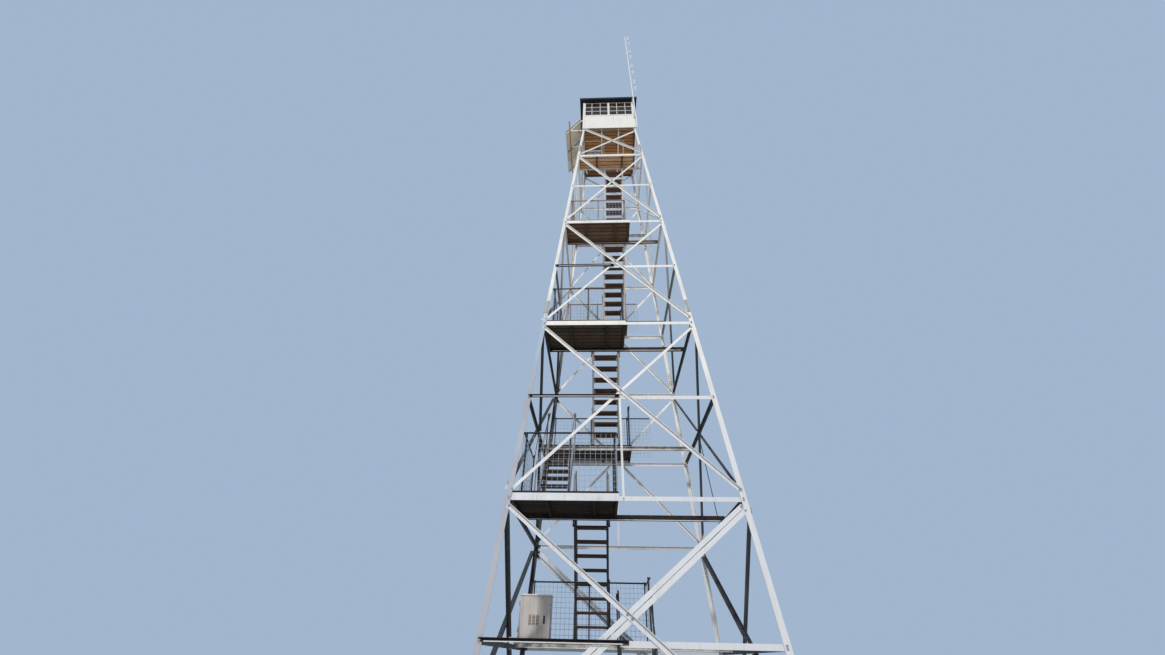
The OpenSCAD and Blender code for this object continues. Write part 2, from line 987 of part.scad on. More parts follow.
module solar_brackets() {
    color([0.9, 0.9, 0.88])
        for (y = bracket_places)
            translate([0, y, 0])
                union() {
                    on_slope()
                        translate([0, 0, panel_t + seat_gap])
                            cube([panel_len, bracket_w, bracket_w]);
                    for (arm = [[panel_x + 35, panel_z - 75], [panel_x - 400, floor_top + 45]])
                        block(arm[0], -cab_half, arm_inset, bracket_w - arm_inset, arm[1], arm[1] + arm_h);
                }
}

// A pipe across the undersides of the bars, which stands out at the front
module solar_rail() {
    color([0.4, 0.25, 0.17])
        on_slope()
            translate([solar_rail_place, panel_y1 - solar_rail_out,
                panel_t + bracket_w + 2 * seat_gap + solar_rail_dia / 2])
                rotate([-90, 0, 0])
                    cylinder(d = solar_rail_dia, h = solar_rail_out + 2 * panel_w + panel_gap + solar_rail_rear);
}

// Equipment cabinet on the lowest rear landing

// The door turns on two pins beside its left edge

module at_hinges() {
    for (h = hinge_heights)
        translate([case_x - hinge_out, case_y - door_gap - door_t / 2, level(0) + deck_top + h])
            children();
}

module equipment_case() {
    z = level(0) + deck_top;
    color([0.72, 0.74, 0.72])
        union() {
            difference() {
                block(case_x, case_x + case_w, case_y, case_y + case_d, z, z + case_h);
                block(case_x + case_t, case_x + case_w - case_t, case_y - 10, case_y + case_d - case_t,
                    z + case_t, z + case_h - case_t);
            }
            at_hinges()
                union() {
                    cylinder(d = knuckle_dia, h = knuckle_h);
                    cylinder(d = pin_dia, h = 2 * knuckle_h);
                    block(-knuckle_dia / 2, hinge_out, 0, 60, 0, knuckle_h);
                }
        }
}

module equipment_case_cap() {
    z = level(0) + deck_top + case_h;
    color([0.8, 0.8, 0.78])
        block(case_x - 20, case_x + case_w + 20, case_y - 45, case_y + case_d + 20, z, z + 25);
}

module equipment_case_door() {
    z = level(0) + deck_top;
    color([0.7, 0.72, 0.7])
        union() {
            block(case_x + 2, case_x + case_w - 2, case_y - door_gap - door_t, case_y - door_gap,
                z + 6, z + case_h - 6);
            at_hinges()
                difference() {
                    union() {
                        translate([0, 0, knuckle_h + hinge_play])
                            cylinder(d = knuckle_dia, h = knuckle_h);
                        block(0, hinge_out + 4, -3, 3, knuckle_h + hinge_play, 2 * knuckle_h + hinge_play);
                    }
                    cylinder(d = pin_dia + 2 * hinge_play, h = 3 * knuckle_h);
                }
        }
}

module equipment_door_handle() {
    z = level(0) + deck_top;
    color([0.15, 0.15, 0.15])
        block(case_x + handle_right, case_x + handle_right + handle_w, case_y - door_gap - door_t - handle_out,
            case_y - door_gap - door_t, z + handle_up, z + handle_up + handle_h);
}

concrete_piers();
base_plates();
front_left_leg();
front_right_leg();
rear_right_leg();
rear_left_leg();
front_girts();
right_girts();
rear_girts();
left_girts();
front_half_girts();
outer_braces();
inner_braces();
centre_hangers();
landing_beams();
landing_joists();
landing_rims();
front_landing_decks();
rear_landing_decks();
stair_stringers();
stair_treads();
stair_handrails();
stair_rail_posts();
front_landing_guards();
rear_landing_guards();
landing_guard_posts();
cab_floor();
cab_floor_joists();
front_cab_wall();
right_cab_wall();
rear_cab_wall();
left_cab_wall();
window_sashes();
window_panes();
cab_ceiling();
fascia_boards();
hip_roof();
aerial_mast();
aerial_dipoles();
aerial_clamps();
solar_panels();
solar_brackets();
solar_rail();
equipment_case();
equipment_case_cap();
equipment_case_door();
equipment_door_handle();
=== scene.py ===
import itertools
import math
import random

import bmesh
import bpy
from mathutils import Matrix, Vector


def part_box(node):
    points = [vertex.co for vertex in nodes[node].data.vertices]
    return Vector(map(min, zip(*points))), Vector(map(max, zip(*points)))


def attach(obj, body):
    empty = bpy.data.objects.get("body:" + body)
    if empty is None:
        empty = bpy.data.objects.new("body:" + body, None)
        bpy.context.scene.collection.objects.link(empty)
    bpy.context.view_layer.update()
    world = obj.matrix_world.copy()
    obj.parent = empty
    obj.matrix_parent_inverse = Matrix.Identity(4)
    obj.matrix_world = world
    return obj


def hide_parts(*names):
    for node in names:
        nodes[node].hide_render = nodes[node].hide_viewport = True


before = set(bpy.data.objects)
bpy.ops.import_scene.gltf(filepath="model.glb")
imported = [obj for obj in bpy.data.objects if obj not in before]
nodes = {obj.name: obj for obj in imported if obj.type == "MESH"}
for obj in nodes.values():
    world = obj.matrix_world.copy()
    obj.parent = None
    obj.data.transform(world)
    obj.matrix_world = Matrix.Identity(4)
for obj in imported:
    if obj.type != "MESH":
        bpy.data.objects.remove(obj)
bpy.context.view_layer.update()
rng = random.Random(41)

# Driving sizes of the tower, in metres, as the frame has them

GROUND_HALF = 2.381
TAPER = 0.07293
LOW_GIRT = 1.845
HALF_STOREY = 2.06
LEG_T = 0.012
BAR_T = 0.008
GIRT_H = 0.08
GIRT_END = 0.075
INNER_Y = LEG_T + 0.001
GIRT_Y = INNER_Y + BAR_T
FOOT_Z = 0.33
BRACE_IN = 0.066
PAIR_IN = 0.082
PAIR_HALF = 0.0435
BRACE_GAP = 0.175
OUTER_GAP = 0.01
PIER_TOP = 0.2
PLATE_TOP = 0.22
JOIST_H = 0.05
BOARD_T = 0.042
DECK_TOP = JOIST_H + BOARD_T
CAB_LEVEL = LOW_GIRT + 8 * HALF_STOREY
FLOOR_TOP = CAB_LEVEL + DECK_TOP
CAB_HALF = 1.045
HATCH = (Vector((-0.985, -0.11, 0)), Vector((-0.33, 0.85, 0)))
WALL_T = 0.05
CASE_X = -2.15
CASE_Y = 0.95
CASE_W = 0.65
DOOR_GAP = 0.005
DOOR_T = 0.02
HINGE_OUT = 0.01
HINGE_HEIGHTS = (0.11, 0.58)
KNUCKLE_H = 0.04
SILL_Z = FLOOR_TOP + 1.048
WINDOW_H = 1.075
WINDOW_W = 0.97
MULLION_W = 0.03
SASH_W = 0.028
BAR_PITCH = 0.346
WALL_TOP = FLOOR_TOP + 2.15
EAVE_HALF = CAB_HALF + 0.15
FASCIA_H = 0.07
TRIM_OUT = 0.016
TRIM_W = 0.056
GUARD_H = 1.25
POST_D = 0.03
MESH_END = -0.36
MAST_X = 1.052
MAST_Y = EAVE_HALF + 0.08
MAST_D = 0.048
MAST_TOP = 27.05
MAST_LEAN = math.radians(0.8)
LEAN_PLACE = 1.35
MAST_TIP = 0.02
LOOP_H = 1.03
LOOP_PITCH = 1.643
LOOP_INNER = 0.118
LOOP_OUTER = 0.17
PANEL_X = -1.18
PANEL_Z = 19.3
PANEL_Y = -1.01
PANEL_W = 0.92
PANEL_LEN = 1.12
PANEL_T = 0.04
PANEL_GAP = 0.01
PANEL_TILT = math.radians(60)
BRACKET_W = 0.04
BRACKET_PLACES = (-0.95, -0.27, 0.37)
RAIL_PLACE = 0.945
RAIL_D_SOLAR = 0.042

# Sizes of the parts that only this script makes

SPLICE_T = 0.009
BOARD_PITCH = 0.14
MORTAR_OUT = 0.03
CLAMP_BOLT_R = 0.004
WALL_PLATE_T = 0.008
SMOOTH_ANGLE = math.radians(35)

BETA = math.atan(TAPER)
COS_BETA = math.cos(BETA)
SPLIT_GIRTS = (0, 2, 4)
SIDES = (-1, 1)
CORNERS = tuple(itertools.product(SIDES, repeat=2))


def level(n):
    return LOW_GIRT + n * HALF_STOREY


def half_at(z):
    return GROUND_HALF - TAPER * z


def at(spot):
    return Matrix.Translation(spot)


def spin(degrees, axis):
    return Matrix.Rotation(math.radians(degrees), 4, axis)


def quarter(k):
    return spin(90 * k, "Z")


def on_face(k):
    """Frame of one leaning side: x along it, y inwards, z up its slope."""
    lean = Matrix.Rotation(-BETA, 4, "X")
    return quarter(k) @ at((0, -GROUND_HALF, 0)) @ lean


# Shader groups that the finishes share


def new_group(name, outputs, **values):
    """A shader group that takes a vector and values, and gives values."""
    tree = bpy.data.node_groups.new(name, "ShaderNodeTree")
    tree.interface.new_socket("Vector", in_out="INPUT", socket_type="NodeSocketVector")
    for label, value in values.items():
        socket = tree.interface.new_socket(label, in_out="INPUT", socket_type="NodeSocketFloat")
        socket.default_value = value
    for label in outputs:
        tree.interface.new_socket(label, in_out="OUTPUT", socket_type="NodeSocketFloat")
    return tree, tree.nodes.new("NodeGroupInput").outputs, tree.nodes.new("NodeGroupOutput").inputs


def add(tree, kind, links=(), **settings):
    """Adds a shader node, sets its fields and joins other sockets to its inputs."""
    item = tree.nodes.new(kind)
    for field, value in settings.items():
        setattr(item, field, value)
    for place, source in links:
        if isinstance(source, bpy.types.NodeSocket):
            tree.links.new(source, item.inputs[place])
        else:
            item.inputs[place].default_value = source
    return item


def compute(tree, operation, *values):
    return add(tree, "ShaderNodeMath", list(enumerate(values)), operation=operation).outputs[0]


def ramp(tree, value, first, last):
    """0 where a value is the first of two, 1 where it is the last, and no further."""
    return add(tree, "ShaderNodeMapRange", [
        ("Value", value), ("From Min", first), ("From Max", last),
    ], clamp=True).outputs["Result"]


def noise(tree, vector, scale, detail, roughness=0.5):
    return add(tree, "ShaderNodeTexNoise", [
        ("Vector", vector), ("Scale", scale), ("Detail", detail), ("Roughness", roughness),
    ]).outputs["Fac"]


def noise_mask(name, scale, low, high, detail, roughness, squeeze=None):
    """Soft-edged patches, 0 outside and 1 inside. Squeezed, they run like stains."""
    tree, start, end = new_group(name, ["Mask"], Scale=scale, Low=low, High=high)
    place = start["Vector"]
    if squeeze is not None:
        place = add(tree, "ShaderNodeMapping", [("Vector", place), ("Scale", squeeze)]).outputs["Vector"]
    value = noise(tree, place, start["Scale"], detail, roughness)
    tree.links.new(ramp(tree, value, start["Low"], start["High"]), end["Mask"])
    return tree


def build_spangle():
    """The crystal pattern of zinc, as a small value from cell to cell."""
    tree, start, end = new_group("zinc_spangle", ["Value"], Scale=60.0)
    cells = add(tree, "ShaderNodeTexVoronoi", [
        ("Vector", start["Vector"]), ("Scale", start["Scale"]),
    ], feature="F1")
    grey = add(tree, "ShaderNodeSeparateColor", [("Color", cells.outputs["Color"])])
    tree.links.new(grey.outputs["Red"], end["Value"])
    return tree


def build_grain():
    """Wood grain along the X axis of the vector that it gets, with dark pores and checks."""
    tree, start, end = new_group("wood_grain", ["Fibre", "Checks"], Scale=30.0)
    stretch = add(tree, "ShaderNodeMapping", [("Vector", start["Vector"]), ("Scale", (0.05, 1.0, 1.0))])
    along = stretch.outputs["Vector"]
    tree.links.new(noise(tree, along, start["Scale"], 8.0, 0.65), end["Fibre"])
    crack = noise(tree, along, compute(tree, "MULTIPLY", start["Scale"], 2.2), 3.0)
    tree.links.new(ramp(tree, crack, 0.6, 0.72), end["Checks"])
    return tree


def build_painted_side_shade():
    """Painted shade: 1 on the lower storeys' bars in the left and right faces and on the rear left leg, where
    they lie in shade.
    """
    tree, start, end = new_group("painted_side_shade", ["Mask"])
    spot = add(tree, "ShaderNodeSeparateXYZ", [("Vector", start["Vector"])])
    x, y, z = (spot.outputs[axis] for axis in "XYZ")
    half = compute(tree, "MULTIPLY_ADD", z, -TAPER, GROUND_HALF)
    side_gap = compute(tree, "SUBTRACT", half, compute(tree, "ABSOLUTE", x))
    behind_front = ramp(tree, compute(tree, "ADD", y, half), 0.13, 0.2)
    before_rear = ramp(tree, compute(tree, "SUBTRACT", half, y), 0.13, 0.2)
    at_left = compute(tree, "LESS_THAN", x, 0.0)
    inside = compute(tree, "MULTIPLY", behind_front, compute(tree, "MAXIMUM", before_rear, at_left))
    at_side = compute(tree, "MULTIPLY", ramp(tree, side_gap, 0.17, 0.13), inside)
    tree.links.new(compute(tree, "MULTIPLY", at_side, ramp(tree, z, 12.6, 9.0)), end["Mask"])
    return tree


PATCHES = noise_mask("patches", 3.0, 0.4, 0.7, detail=6.0, roughness=0.6)
RUNS = noise_mask("downward_runs", 12.0, 0.5, 0.75, detail=4.0, roughness=0.5, squeeze=(1.0, 1.0, 0.06))
SPANGLE = build_spangle()
GRAIN = build_grain()
PAINTED_SIDE_SHADE = build_painted_side_shade()


class Finish:
    """A material whose colour, roughness and height are built up in layers."""

    def __init__(self, name, colour, roughness, metallic=0.0, gloss=0.5):
        self.material = bpy.data.materials.new(name)
        self.material.use_nodes = True
        self.tree = self.material.node_tree
        self.shader = self.tree.nodes["Principled BSDF"]
        self.set("Metallic", metallic)
        self.set("Roughness", roughness)
        self.set("Specular IOR Level", gloss)
        self.place = add(self.tree, "ShaderNodeTexCoord").outputs["Object"]
        plain = add(self.tree, "ShaderNodeRGB")
        plain.outputs[0].default_value = (*colour, 1)
        self.colour = plain.outputs[0]
        self.height = None

    def set(self, label, value):
        self.shader.inputs[label].default_value = value

    def turned(self, angles=(0, 0, 0), scale=(1, 1, 1), shift=(0, 0, 0)):
        return add(self.tree, "ShaderNodeMapping", [
            ("Vector", self.place), ("Location", shift), ("Rotation", angles), ("Scale", scale),
        ]).outputs["Vector"]

    def group(self, tree, output, place=None, **values):
        """One value of a shader group, at the object's own place or at another."""
        inputs = [("Vector", self.place if place is None else place), *values.items()]
        return add(self.tree, "ShaderNodeGroup", inputs, node_tree=tree).outputs[output]

    def patches(self, scale, low, high, colour=None, strength=1.0, place=None, shape=PATCHES):
        """Gives the mask of some patches, after laying a colour where they are."""
        mask = self.group(shape, "Mask", place, Scale=scale, Low=low, High=high)
        if colour is not None:
            self.tint(mask, colour, strength)
        return mask

    def runs(self, scale, low, high, colour, strength):
        return self.patches(scale, low, high, colour, strength, shape=RUNS)

    def over_height(self, low, high, axis="Z"):
        """0 at one height of the tower, 1 at the other and beyond."""
        spot = add(self.tree, "ShaderNodeSeparateXYZ", [("Vector", self.place)])
        return ramp(self.tree, spot.outputs[axis], low, high)

    def tint(self, mask, colour, strength=1.0, blend="MIX"):
        """Lays a colour over what is there, where the mask is."""
        if not isinstance(colour, bpy.types.NodeSocket):
            colour = (*colour, 1)
        self.colour = add(self.tree, "ShaderNodeMix", [
            ("Factor", compute(self.tree, "MULTIPLY", mask, strength)), ("A", self.colour), ("B", colour),
        ], data_type="RGBA", blend_type=blend).outputs["Result"]

    def raise_by(self, value, amount):
        part = compute(self.tree, "MULTIPLY", value, amount)
        self.height = part if self.height is None else compute(self.tree, "ADD", self.height, part)

    def rough_between(self, mask, low, high):
        span = add(self.tree, "ShaderNodeMapRange", [("Value", mask), ("To Min", low), ("To Max", high)])
        self.tree.links.new(span.outputs["Result"], self.shader.inputs["Roughness"])

    def done(self, bump=0.3, distance=0.002):
        self.tree.links.new(self.colour, self.shader.inputs["Base Color"])
        if self.height is not None:
            item = add(self.tree, "ShaderNodeBump", [
                ("Height", self.height), ("Strength", bump), ("Distance", distance),
            ])
            self.tree.links.new(item.outputs["Normal"], self.shader.inputs["Normal"])
        return self.material


def scaled(colour, factor):
    return tuple(min(1.0, factor * c) for c in colour)


# Finishes


def zinc_steel(name, pale, dull, stain_strength, grades=()):
    """Each grade is two heights and the colour that the steel turns to from the first to the second."""
    finish = Finish(name, pale, 0.6, metallic=0.05, gloss=0.3)
    spangle = finish.group(SPANGLE, "Value", Scale=70.0)
    finish.tint(spangle, dull, 0.22)
    dull_spots = finish.patches(1.7, 0.42, 0.68, dull, 0.55)
    for first, second, colour in grades:
        finish.tint(finish.over_height(first, second), colour, 0.94)
    # Painted shade: the lower storeys' side bars turn near black, where they lie in shade.
    finish.tint(finish.group(PAINTED_SIDE_SHADE, "Mask"), (0.014, 0.016, 0.024), 0.95)
    finish.runs(18.0, 0.55, 0.78, (0.30, 0.26, 0.21), stain_strength)
    rust = finish.patches(9.0, 0.66, 0.74, (0.27, 0.12, 0.05), 0.45 * stain_strength + 0.1)
    finish.rough_between(dull_spots, 0.52, 0.7)
    finish.raise_by(spangle, 0.25)
    finish.raise_by(rust, 0.6)
    return finish.done(bump=0.12, distance=0.001)


def dark_steel_and_painted_light():
    """Dark steel with painted shade and light: near black on the lowest landings, where it lies in shade,
    brown higher up, and pale on the top one, where the light falls; pale grey on the rear landings.
    """
    finish = Finish("dark_steel_and_painted_light", (0.011, 0.010, 0.013), 0.7, gloss=0.2)
    # Painted shade and light: brown from 10.4 m up, pale from 15.3 m up.
    finish.tint(finish.over_height(10.4, 12.0), (0.10, 0.062, 0.05), 0.9)
    finish.tint(finish.over_height(15.3, 16.2), (0.62, 0.53, 0.46), 0.9)
    finish.tint(finish.over_height(0.2, 0.4, axis="Y"), (0.52, 0.51, 0.49), 0.9)
    rust = finish.patches(7.0, 0.45, 0.65, (0.05, 0.026, 0.02), 0.6)
    finish.patches(22.0, 0.64, 0.7, (0.3, 0.29, 0.28), 0.2, finish.turned(shift=(3, 1, 2)))
    finish.raise_by(rust, 1.0)
    return finish.done(bump=0.2)


def guard_pipe():
    """Painted shade and light on the guard pipes: near black on the lowest guards, where they lie in shade,
    and pale rusty brown on the upper ones, where the light falls.
    """
    finish = Finish("guard_pipe", (0.012, 0.012, 0.016), 0.55, gloss=0.2)
    # Painted light: pale rusty brown from 8.5 m up to 14 m.
    finish.tint(finish.over_height(8.5, 14.0), (0.40, 0.28, 0.215), 0.95)
    worn = finish.patches(14.0, 0.58, 0.68, (0.10, 0.055, 0.04), 0.6)
    finish.patches(2.5, 0.4, 0.8, (0.08, 0.075, 0.075), 0.25)
    finish.rough_between(worn, 0.5, 0.8)
    finish.raise_by(worn, -1.0)
    return finish.done(bump=0.2, distance=0.001)


def rusty_pipe():
    finish = Finish("rusty_pipe", (0.40, 0.20, 0.105), 0.75, metallic=0.1)
    dark = finish.patches(12.0, 0.45, 0.65, (0.17, 0.075, 0.04), 0.75)
    finish.patches(5.0, 0.58, 0.72, (0.45, 0.40, 0.35), 0.6, finish.turned(shift=(2, 5, 1)))
    finish.raise_by(dark, 1.0)
    return finish.done(bump=0.25, distance=0.001)


def pier_concrete():
    finish = Finish("pier_concrete", (0.42, 0.40, 0.36), 0.9)
    finish.patches(3.5, 0.35, 0.7, (0.29, 0.275, 0.25), 0.7)
    sand = finish.patches(90.0, 0.45, 0.6, (0.5, 0.48, 0.45), 0.25)
    finish.patches(6.0, 0.58, 0.72, (0.15, 0.17, 0.09), 0.55, finish.turned(scale=(1, 1, 2)))
    pores = finish.patches(45.0, 0.66, 0.7, (0.13, 0.12, 0.11), 0.7)
    finish.raise_by(sand, 0.4)
    finish.raise_by(pores, -1.2)
    return finish.done(bump=0.5, distance=0.004)


def old_boards(name, brown, grey, turn, grey_strength):
    """Weathered planks. Each board's tone comes from its colour attribute, which also carries painted shade
    and light: darker lower down the tower, and lightened or darkened on the undersides.
    """
    finish = Finish(name, brown, 0.85, gloss=0.2)
    along = finish.turned(angles=(0, 0, turn))
    fibre = finish.group(GRAIN, "Fibre", along, Scale=38.0)
    checks = finish.group(GRAIN, "Checks", along, Scale=30.0)
    finish.tint(fibre, scaled(brown, 0.45), 0.7)
    finish.patches(2.2, 0.42, 0.66, grey, grey_strength, along)
    finish.tint(checks, scaled(brown, 0.2), 0.8)
    finish.patches(5.0, 0.56, 0.7, scaled(brown, 0.35), 0.5)
    # The colour attribute multiplies in each board's tone with its painted shade and light.
    shade = add(finish.tree, "ShaderNodeAttribute", attribute_name="shade")
    finish.tint(1.0, shade.outputs["Color"], blend="MULTIPLY")
    finish.raise_by(fibre, 0.5)
    finish.raise_by(checks, -1.0)
    return finish.done(bump=0.45, distance=0.003)


def white_walls():
    finish = Finish("white_walls", (0.80, 0.79, 0.755), 0.55)
    finish.patches(1.3, 0.4, 0.75, (0.74, 0.71, 0.64), 0.6)
    dirt = finish.runs(14.0, 0.56, 0.8, (0.45, 0.40, 0.33), 0.4)
    flakes = finish.patches(26.0, 0.69, 0.71, (0.40, 0.35, 0.29), 0.75)
    brush = finish.group(GRAIN, "Fibre", Scale=60.0)
    finish.raise_by(brush, 0.25)
    finish.raise_by(flakes, -1.0)
    finish.rough_between(dirt, 0.5, 0.75)
    return finish.done(bump=0.25, distance=0.0015)


def dark_boards(name, colour):
    finish = Finish(name, colour, 0.75, gloss=0.25)
    fibre = finish.group(GRAIN, "Fibre", Scale=40.0)
    finish.tint(fibre, scaled(colour, 0.4), 0.7)
    finish.patches(4.0, 0.55, 0.75, scaled(colour, 2.2), 0.4)
    finish.raise_by(fibre, 0.5)
    return finish.done(bump=0.3)


def window_glass():
    finish = Finish("window_glass", (0.60, 0.46, 0.40), 0.02, gloss=0.06)
    finish.set("Transmission Weight", 0.97)
    finish.set("IOR", 1.2)
    waves = finish.patches(2.5, 0.2, 0.8)
    grime = finish.runs(9.0, 0.5, 0.8, (0.42, 0.34, 0.30), 0.4)
    finish.rough_between(grime, 0.02, 0.14)
    finish.raise_by(waves, 1.0)
    return finish.done(bump=0.03, distance=0.004)


def sheet_roof():
    finish = Finish("sheet_roof", (0.23, 0.235, 0.24), 0.5, metallic=0.4)
    cloud = finish.patches(3.0, 0.4, 0.7, (0.33, 0.33, 0.325), 0.7)
    rust = finish.patches(11.0, 0.62, 0.72, (0.23, 0.11, 0.06), 0.7)
    finish.rough_between(cloud, 0.4, 0.7)
    finish.raise_by(rust, 0.6)
    return finish.done(bump=0.2)


def aluminium(name, colour, roughness, metallic=0.55):
    finish = Finish(name, colour, roughness, metallic=metallic)
    dull = finish.patches(12.0, 0.4, 0.7, scaled(colour, 0.75), 0.6)
    fine = finish.patches(220.0, 0.35, 0.65, place=finish.turned(scale=(1, 1, 0.05)))
    finish.raise_by(fine, 0.3)
    finish.rough_between(dull, roughness - 0.08, roughness + 0.15)
    return finish.done(bump=0.1, distance=0.0006)


def cream_backsheet():
    finish = Finish("cream_backsheet", (0.97, 0.89, 0.74), 0.5)
    stain = finish.patches(3.2, 0.42, 0.72, (0.88, 0.72, 0.54), 0.45)
    finish.runs(11.0, 0.55, 0.8, (0.60, 0.44, 0.31), 0.25)
    finish.raise_by(stain, 0.4)
    return finish.done(bump=0.1)


def solar_glass():
    """Dark cells with thin pale fingers, under glass."""
    finish = Finish("solar_glass", (0.012, 0.02, 0.055), 0.12)
    finish.set("Coat Weight", 0.6)
    fingers = add(finish.tree, "ShaderNodeTexBrick", [
        ("Vector", finish.turned(angles=(0, PANEL_TILT - math.pi, 0))), ("Scale", 1.0),
        ("Brick Width", 0.15), ("Row Height", 0.0115), ("Mortar Size", 0.0008),
    ], offset=0.0)
    finish.tint(fingers.outputs["Fac"], (0.18, 0.2, 0.24), 0.6)
    finish.patches(25.0, 0.4, 0.6, (0.02, 0.035, 0.10), 0.6)
    dust = finish.patches(2.0, 0.45, 0.8, (0.2, 0.19, 0.17), 0.25)
    finish.rough_between(dust, 0.1, 0.4)
    return finish.done()


def white_bar_paint():
    finish = Finish("white_bar_paint", (0.88, 0.875, 0.85), 0.5)
    finish.runs(30.0, 0.5, 0.75, (0.5, 0.46, 0.4), 0.4)
    chips = finish.patches(60.0, 0.67, 0.7, (0.25, 0.16, 0.1), 0.7)
    finish.raise_by(chips, -1.0)
    return finish.done(bump=0.2, distance=0.001)


def cabinet_paint(name, colour):
    finish = Finish(name, colour, 0.45)
    faded = finish.patches(4.0, 0.4, 0.7, scaled(colour, 0.72), 0.6)
    finish.runs(20.0, 0.5, 0.75, (0.2, 0.17, 0.15), 0.45)
    peel = finish.patches(300.0, 0.3, 0.7)
    finish.raise_by(peel, 0.4)
    finish.rough_between(faded, 0.38, 0.62)
    return finish.done(bump=0.12, distance=0.0008)


def black_plastic():
    finish = Finish("black_plastic", (0.018, 0.018, 0.02), 0.4)
    fine = finish.patches(400.0, 0.4, 0.6)
    finish.raise_by(fine, 0.5)
    finish.patches(30.0, 0.55, 0.7, (0.08, 0.08, 0.085), 0.6)
    return finish.done(bump=0.2, distance=0.0005)


# Painted shade: the steel turns blue-grey from 7.5 m down to 4 m, where the lower storeys lie in shade.
STEEL = zinc_steel("zinc_steel", (0.83, 0.815, 0.79), (0.64, 0.63, 0.615), 0.3, grades=(
    (7.5, 4.0, (0.62, 0.64, 0.675)),
))
# The girts turn dark brown above 18.1 m; painted shade turns them blue-grey from 8 m down to 5 m.
GIRT_STEEL = zinc_steel("girt_steel", (0.82, 0.81, 0.79), (0.64, 0.635, 0.625), 0.35, grades=(
    (18.1, 18.2, (0.045, 0.03, 0.022)), (8.0, 5.0, (0.59, 0.615, 0.66)),
))
# Painted shade: the front left leg turns blue-grey from 9.2 m down to 7.8 m and grey from 7 m down to 6 m,
# where it lies in shade.
LEFT_LEG_STEEL = zinc_steel("left_leg_steel", (0.82, 0.81, 0.79), (0.62, 0.62, 0.62), 0.3, grades=(
    (9.2, 7.8, (0.33, 0.42, 0.54)), (7.0, 6.0, (0.37, 0.385, 0.44)),
))
# Painted shade: the stair steel darkens down the tower, to dark grey below 6.4 m and near black under the
# lowest landing.
STAIR_STEEL = zinc_steel("stair_steel", (0.84, 0.82, 0.79), (0.70, 0.67, 0.64), 0.4, grades=(
    (13.6, 11.0, (0.60, 0.53, 0.475)), (8.0, 6.4, (0.27, 0.27, 0.28)), (4.3, 3.8, (0.012, 0.012, 0.015)),
))
PLATE_STEEL = zinc_steel("plate_steel", (0.45, 0.45, 0.45), (0.27, 0.26, 0.25), 0.9)
BOLT_STEEL = zinc_steel("bolt_steel", (0.36, 0.36, 0.37), (0.2, 0.19, 0.19), 0.9)
MESH_WIRE = aluminium("mesh_wire", (0.42, 0.47, 0.55), 0.5, metallic=0.1)
DARK_STEEL_AND_PAINTED_LIGHT = dark_steel_and_painted_light()
GUARD_PIPE = guard_pipe()
CONCRETE = pier_concrete()
DECK_WOOD = old_boards("deck_wood", (0.29, 0.185, 0.115), (0.30, 0.25, 0.19), 0.0, 0.4)
JOIST_WOOD = old_boards("joist_wood", (0.15, 0.095, 0.06), (0.2, 0.17, 0.14), math.radians(90), 0.4)
TREAD_WOOD = old_boards("tread_wood", (0.13, 0.068, 0.045), (0.19, 0.155, 0.135), 0.0, 0.3)
WHITE_WALLS = white_walls()
SOFFIT_WOOD = dark_boards("soffit_wood", (0.02, 0.02, 0.022))
CEILING_WOOD = dark_boards("ceiling_wood", (0.085, 0.038, 0.026))
LINING_WOOD = dark_boards("lining_wood", (0.20, 0.115, 0.07))
GLASS = window_glass()
ROOF_SHEET = sheet_roof()
# Dark paint with a painted reflection of the sky, which gives the fascia its navy tint.
FASCIA_BOARDS = dark_boards("fascia_paint_and_sky_reflection", (0.02, 0.034, 0.055))
DRIP_EDGE = aluminium("drip_edge", (0.66, 0.68, 0.70), 0.4)
RUSTY_PIPE = rusty_pipe()
AERIAL_METAL = aluminium("aerial_metal", (0.86, 0.87, 0.88), 0.38, metallic=0.1)
FRAME_METAL = aluminium("panel_frame_metal", (0.62, 0.63, 0.64), 0.35)
BACKSHEET = cream_backsheet()
SOLAR_GLASS = solar_glass()
WHITE_BARS = white_bar_paint()
CABINET = cabinet_paint("cabinet_paint", (0.50, 0.47, 0.455))
CABINET_CAP = cabinet_paint("cabinet_cap_paint", (0.84, 0.79, 0.78))
LOUVRE_PAINT = cabinet_paint("louvre_paint", (0.66, 0.56, 0.5))
BLACK_PLASTIC = black_plastic()

# Tools for making pieces


def finish_piece(name, bm, material, body="tower", smooth=False, stands_for=()):
    """Turns a bmesh into a piece of the object that rides on a body."""
    bmesh.ops.recalc_face_normals(bm, faces=bm.faces)
    mesh = bpy.data.meshes.new(name)
    bm.to_mesh(mesh)
    bm.free()
    mesh.materials.append(material)
    if smooth:
        mesh.shade_smooth()
        mesh.set_sharp_from_angle(angle=SMOOTH_ANGLE)
    piece = bpy.data.objects.new(name, mesh)
    bpy.context.scene.collection.objects.link(piece)
    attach(piece, body)
    if stands_for:
        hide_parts(*stands_for)


def steel_piece(name, bm, material=BOLT_STEEL):
    finish_piece(name, bm, material)


def edges_of(verts):
    return list({edge for vert in verts for edge in vert.link_edges})


def block(bm, low, high, place=None, bevel=0.0, segments=1):
    """A box between two corners, with its edges taken off."""
    low = Vector(low)
    high = Vector(high)
    matrix = at((low + high) / 2) @ Matrix.Diagonal((*(high - low), 1))
    if place is not None:
        matrix = place @ matrix
    verts = bmesh.ops.create_cube(bm, size=1, matrix=matrix)["verts"]
    if bevel > 0:
        verts = bmesh.ops.bevel(
            bm, geom=edges_of(verts), offset=bevel, segments=segments, profile=0.5,
            affect="EDGES", material=-1,
        )["verts"]
    return verts


def rod(bm, place, radius, length, segments=12, radius_end=None):
    """A round bar along z from the frame's origin."""
    bmesh.ops.create_cone(
        bm, cap_ends=True, segments=segments, radius1=radius,
        radius2=radius if radius_end is None else radius_end,
        depth=length, matrix=place @ at((0, 0, length / 2)),
    )


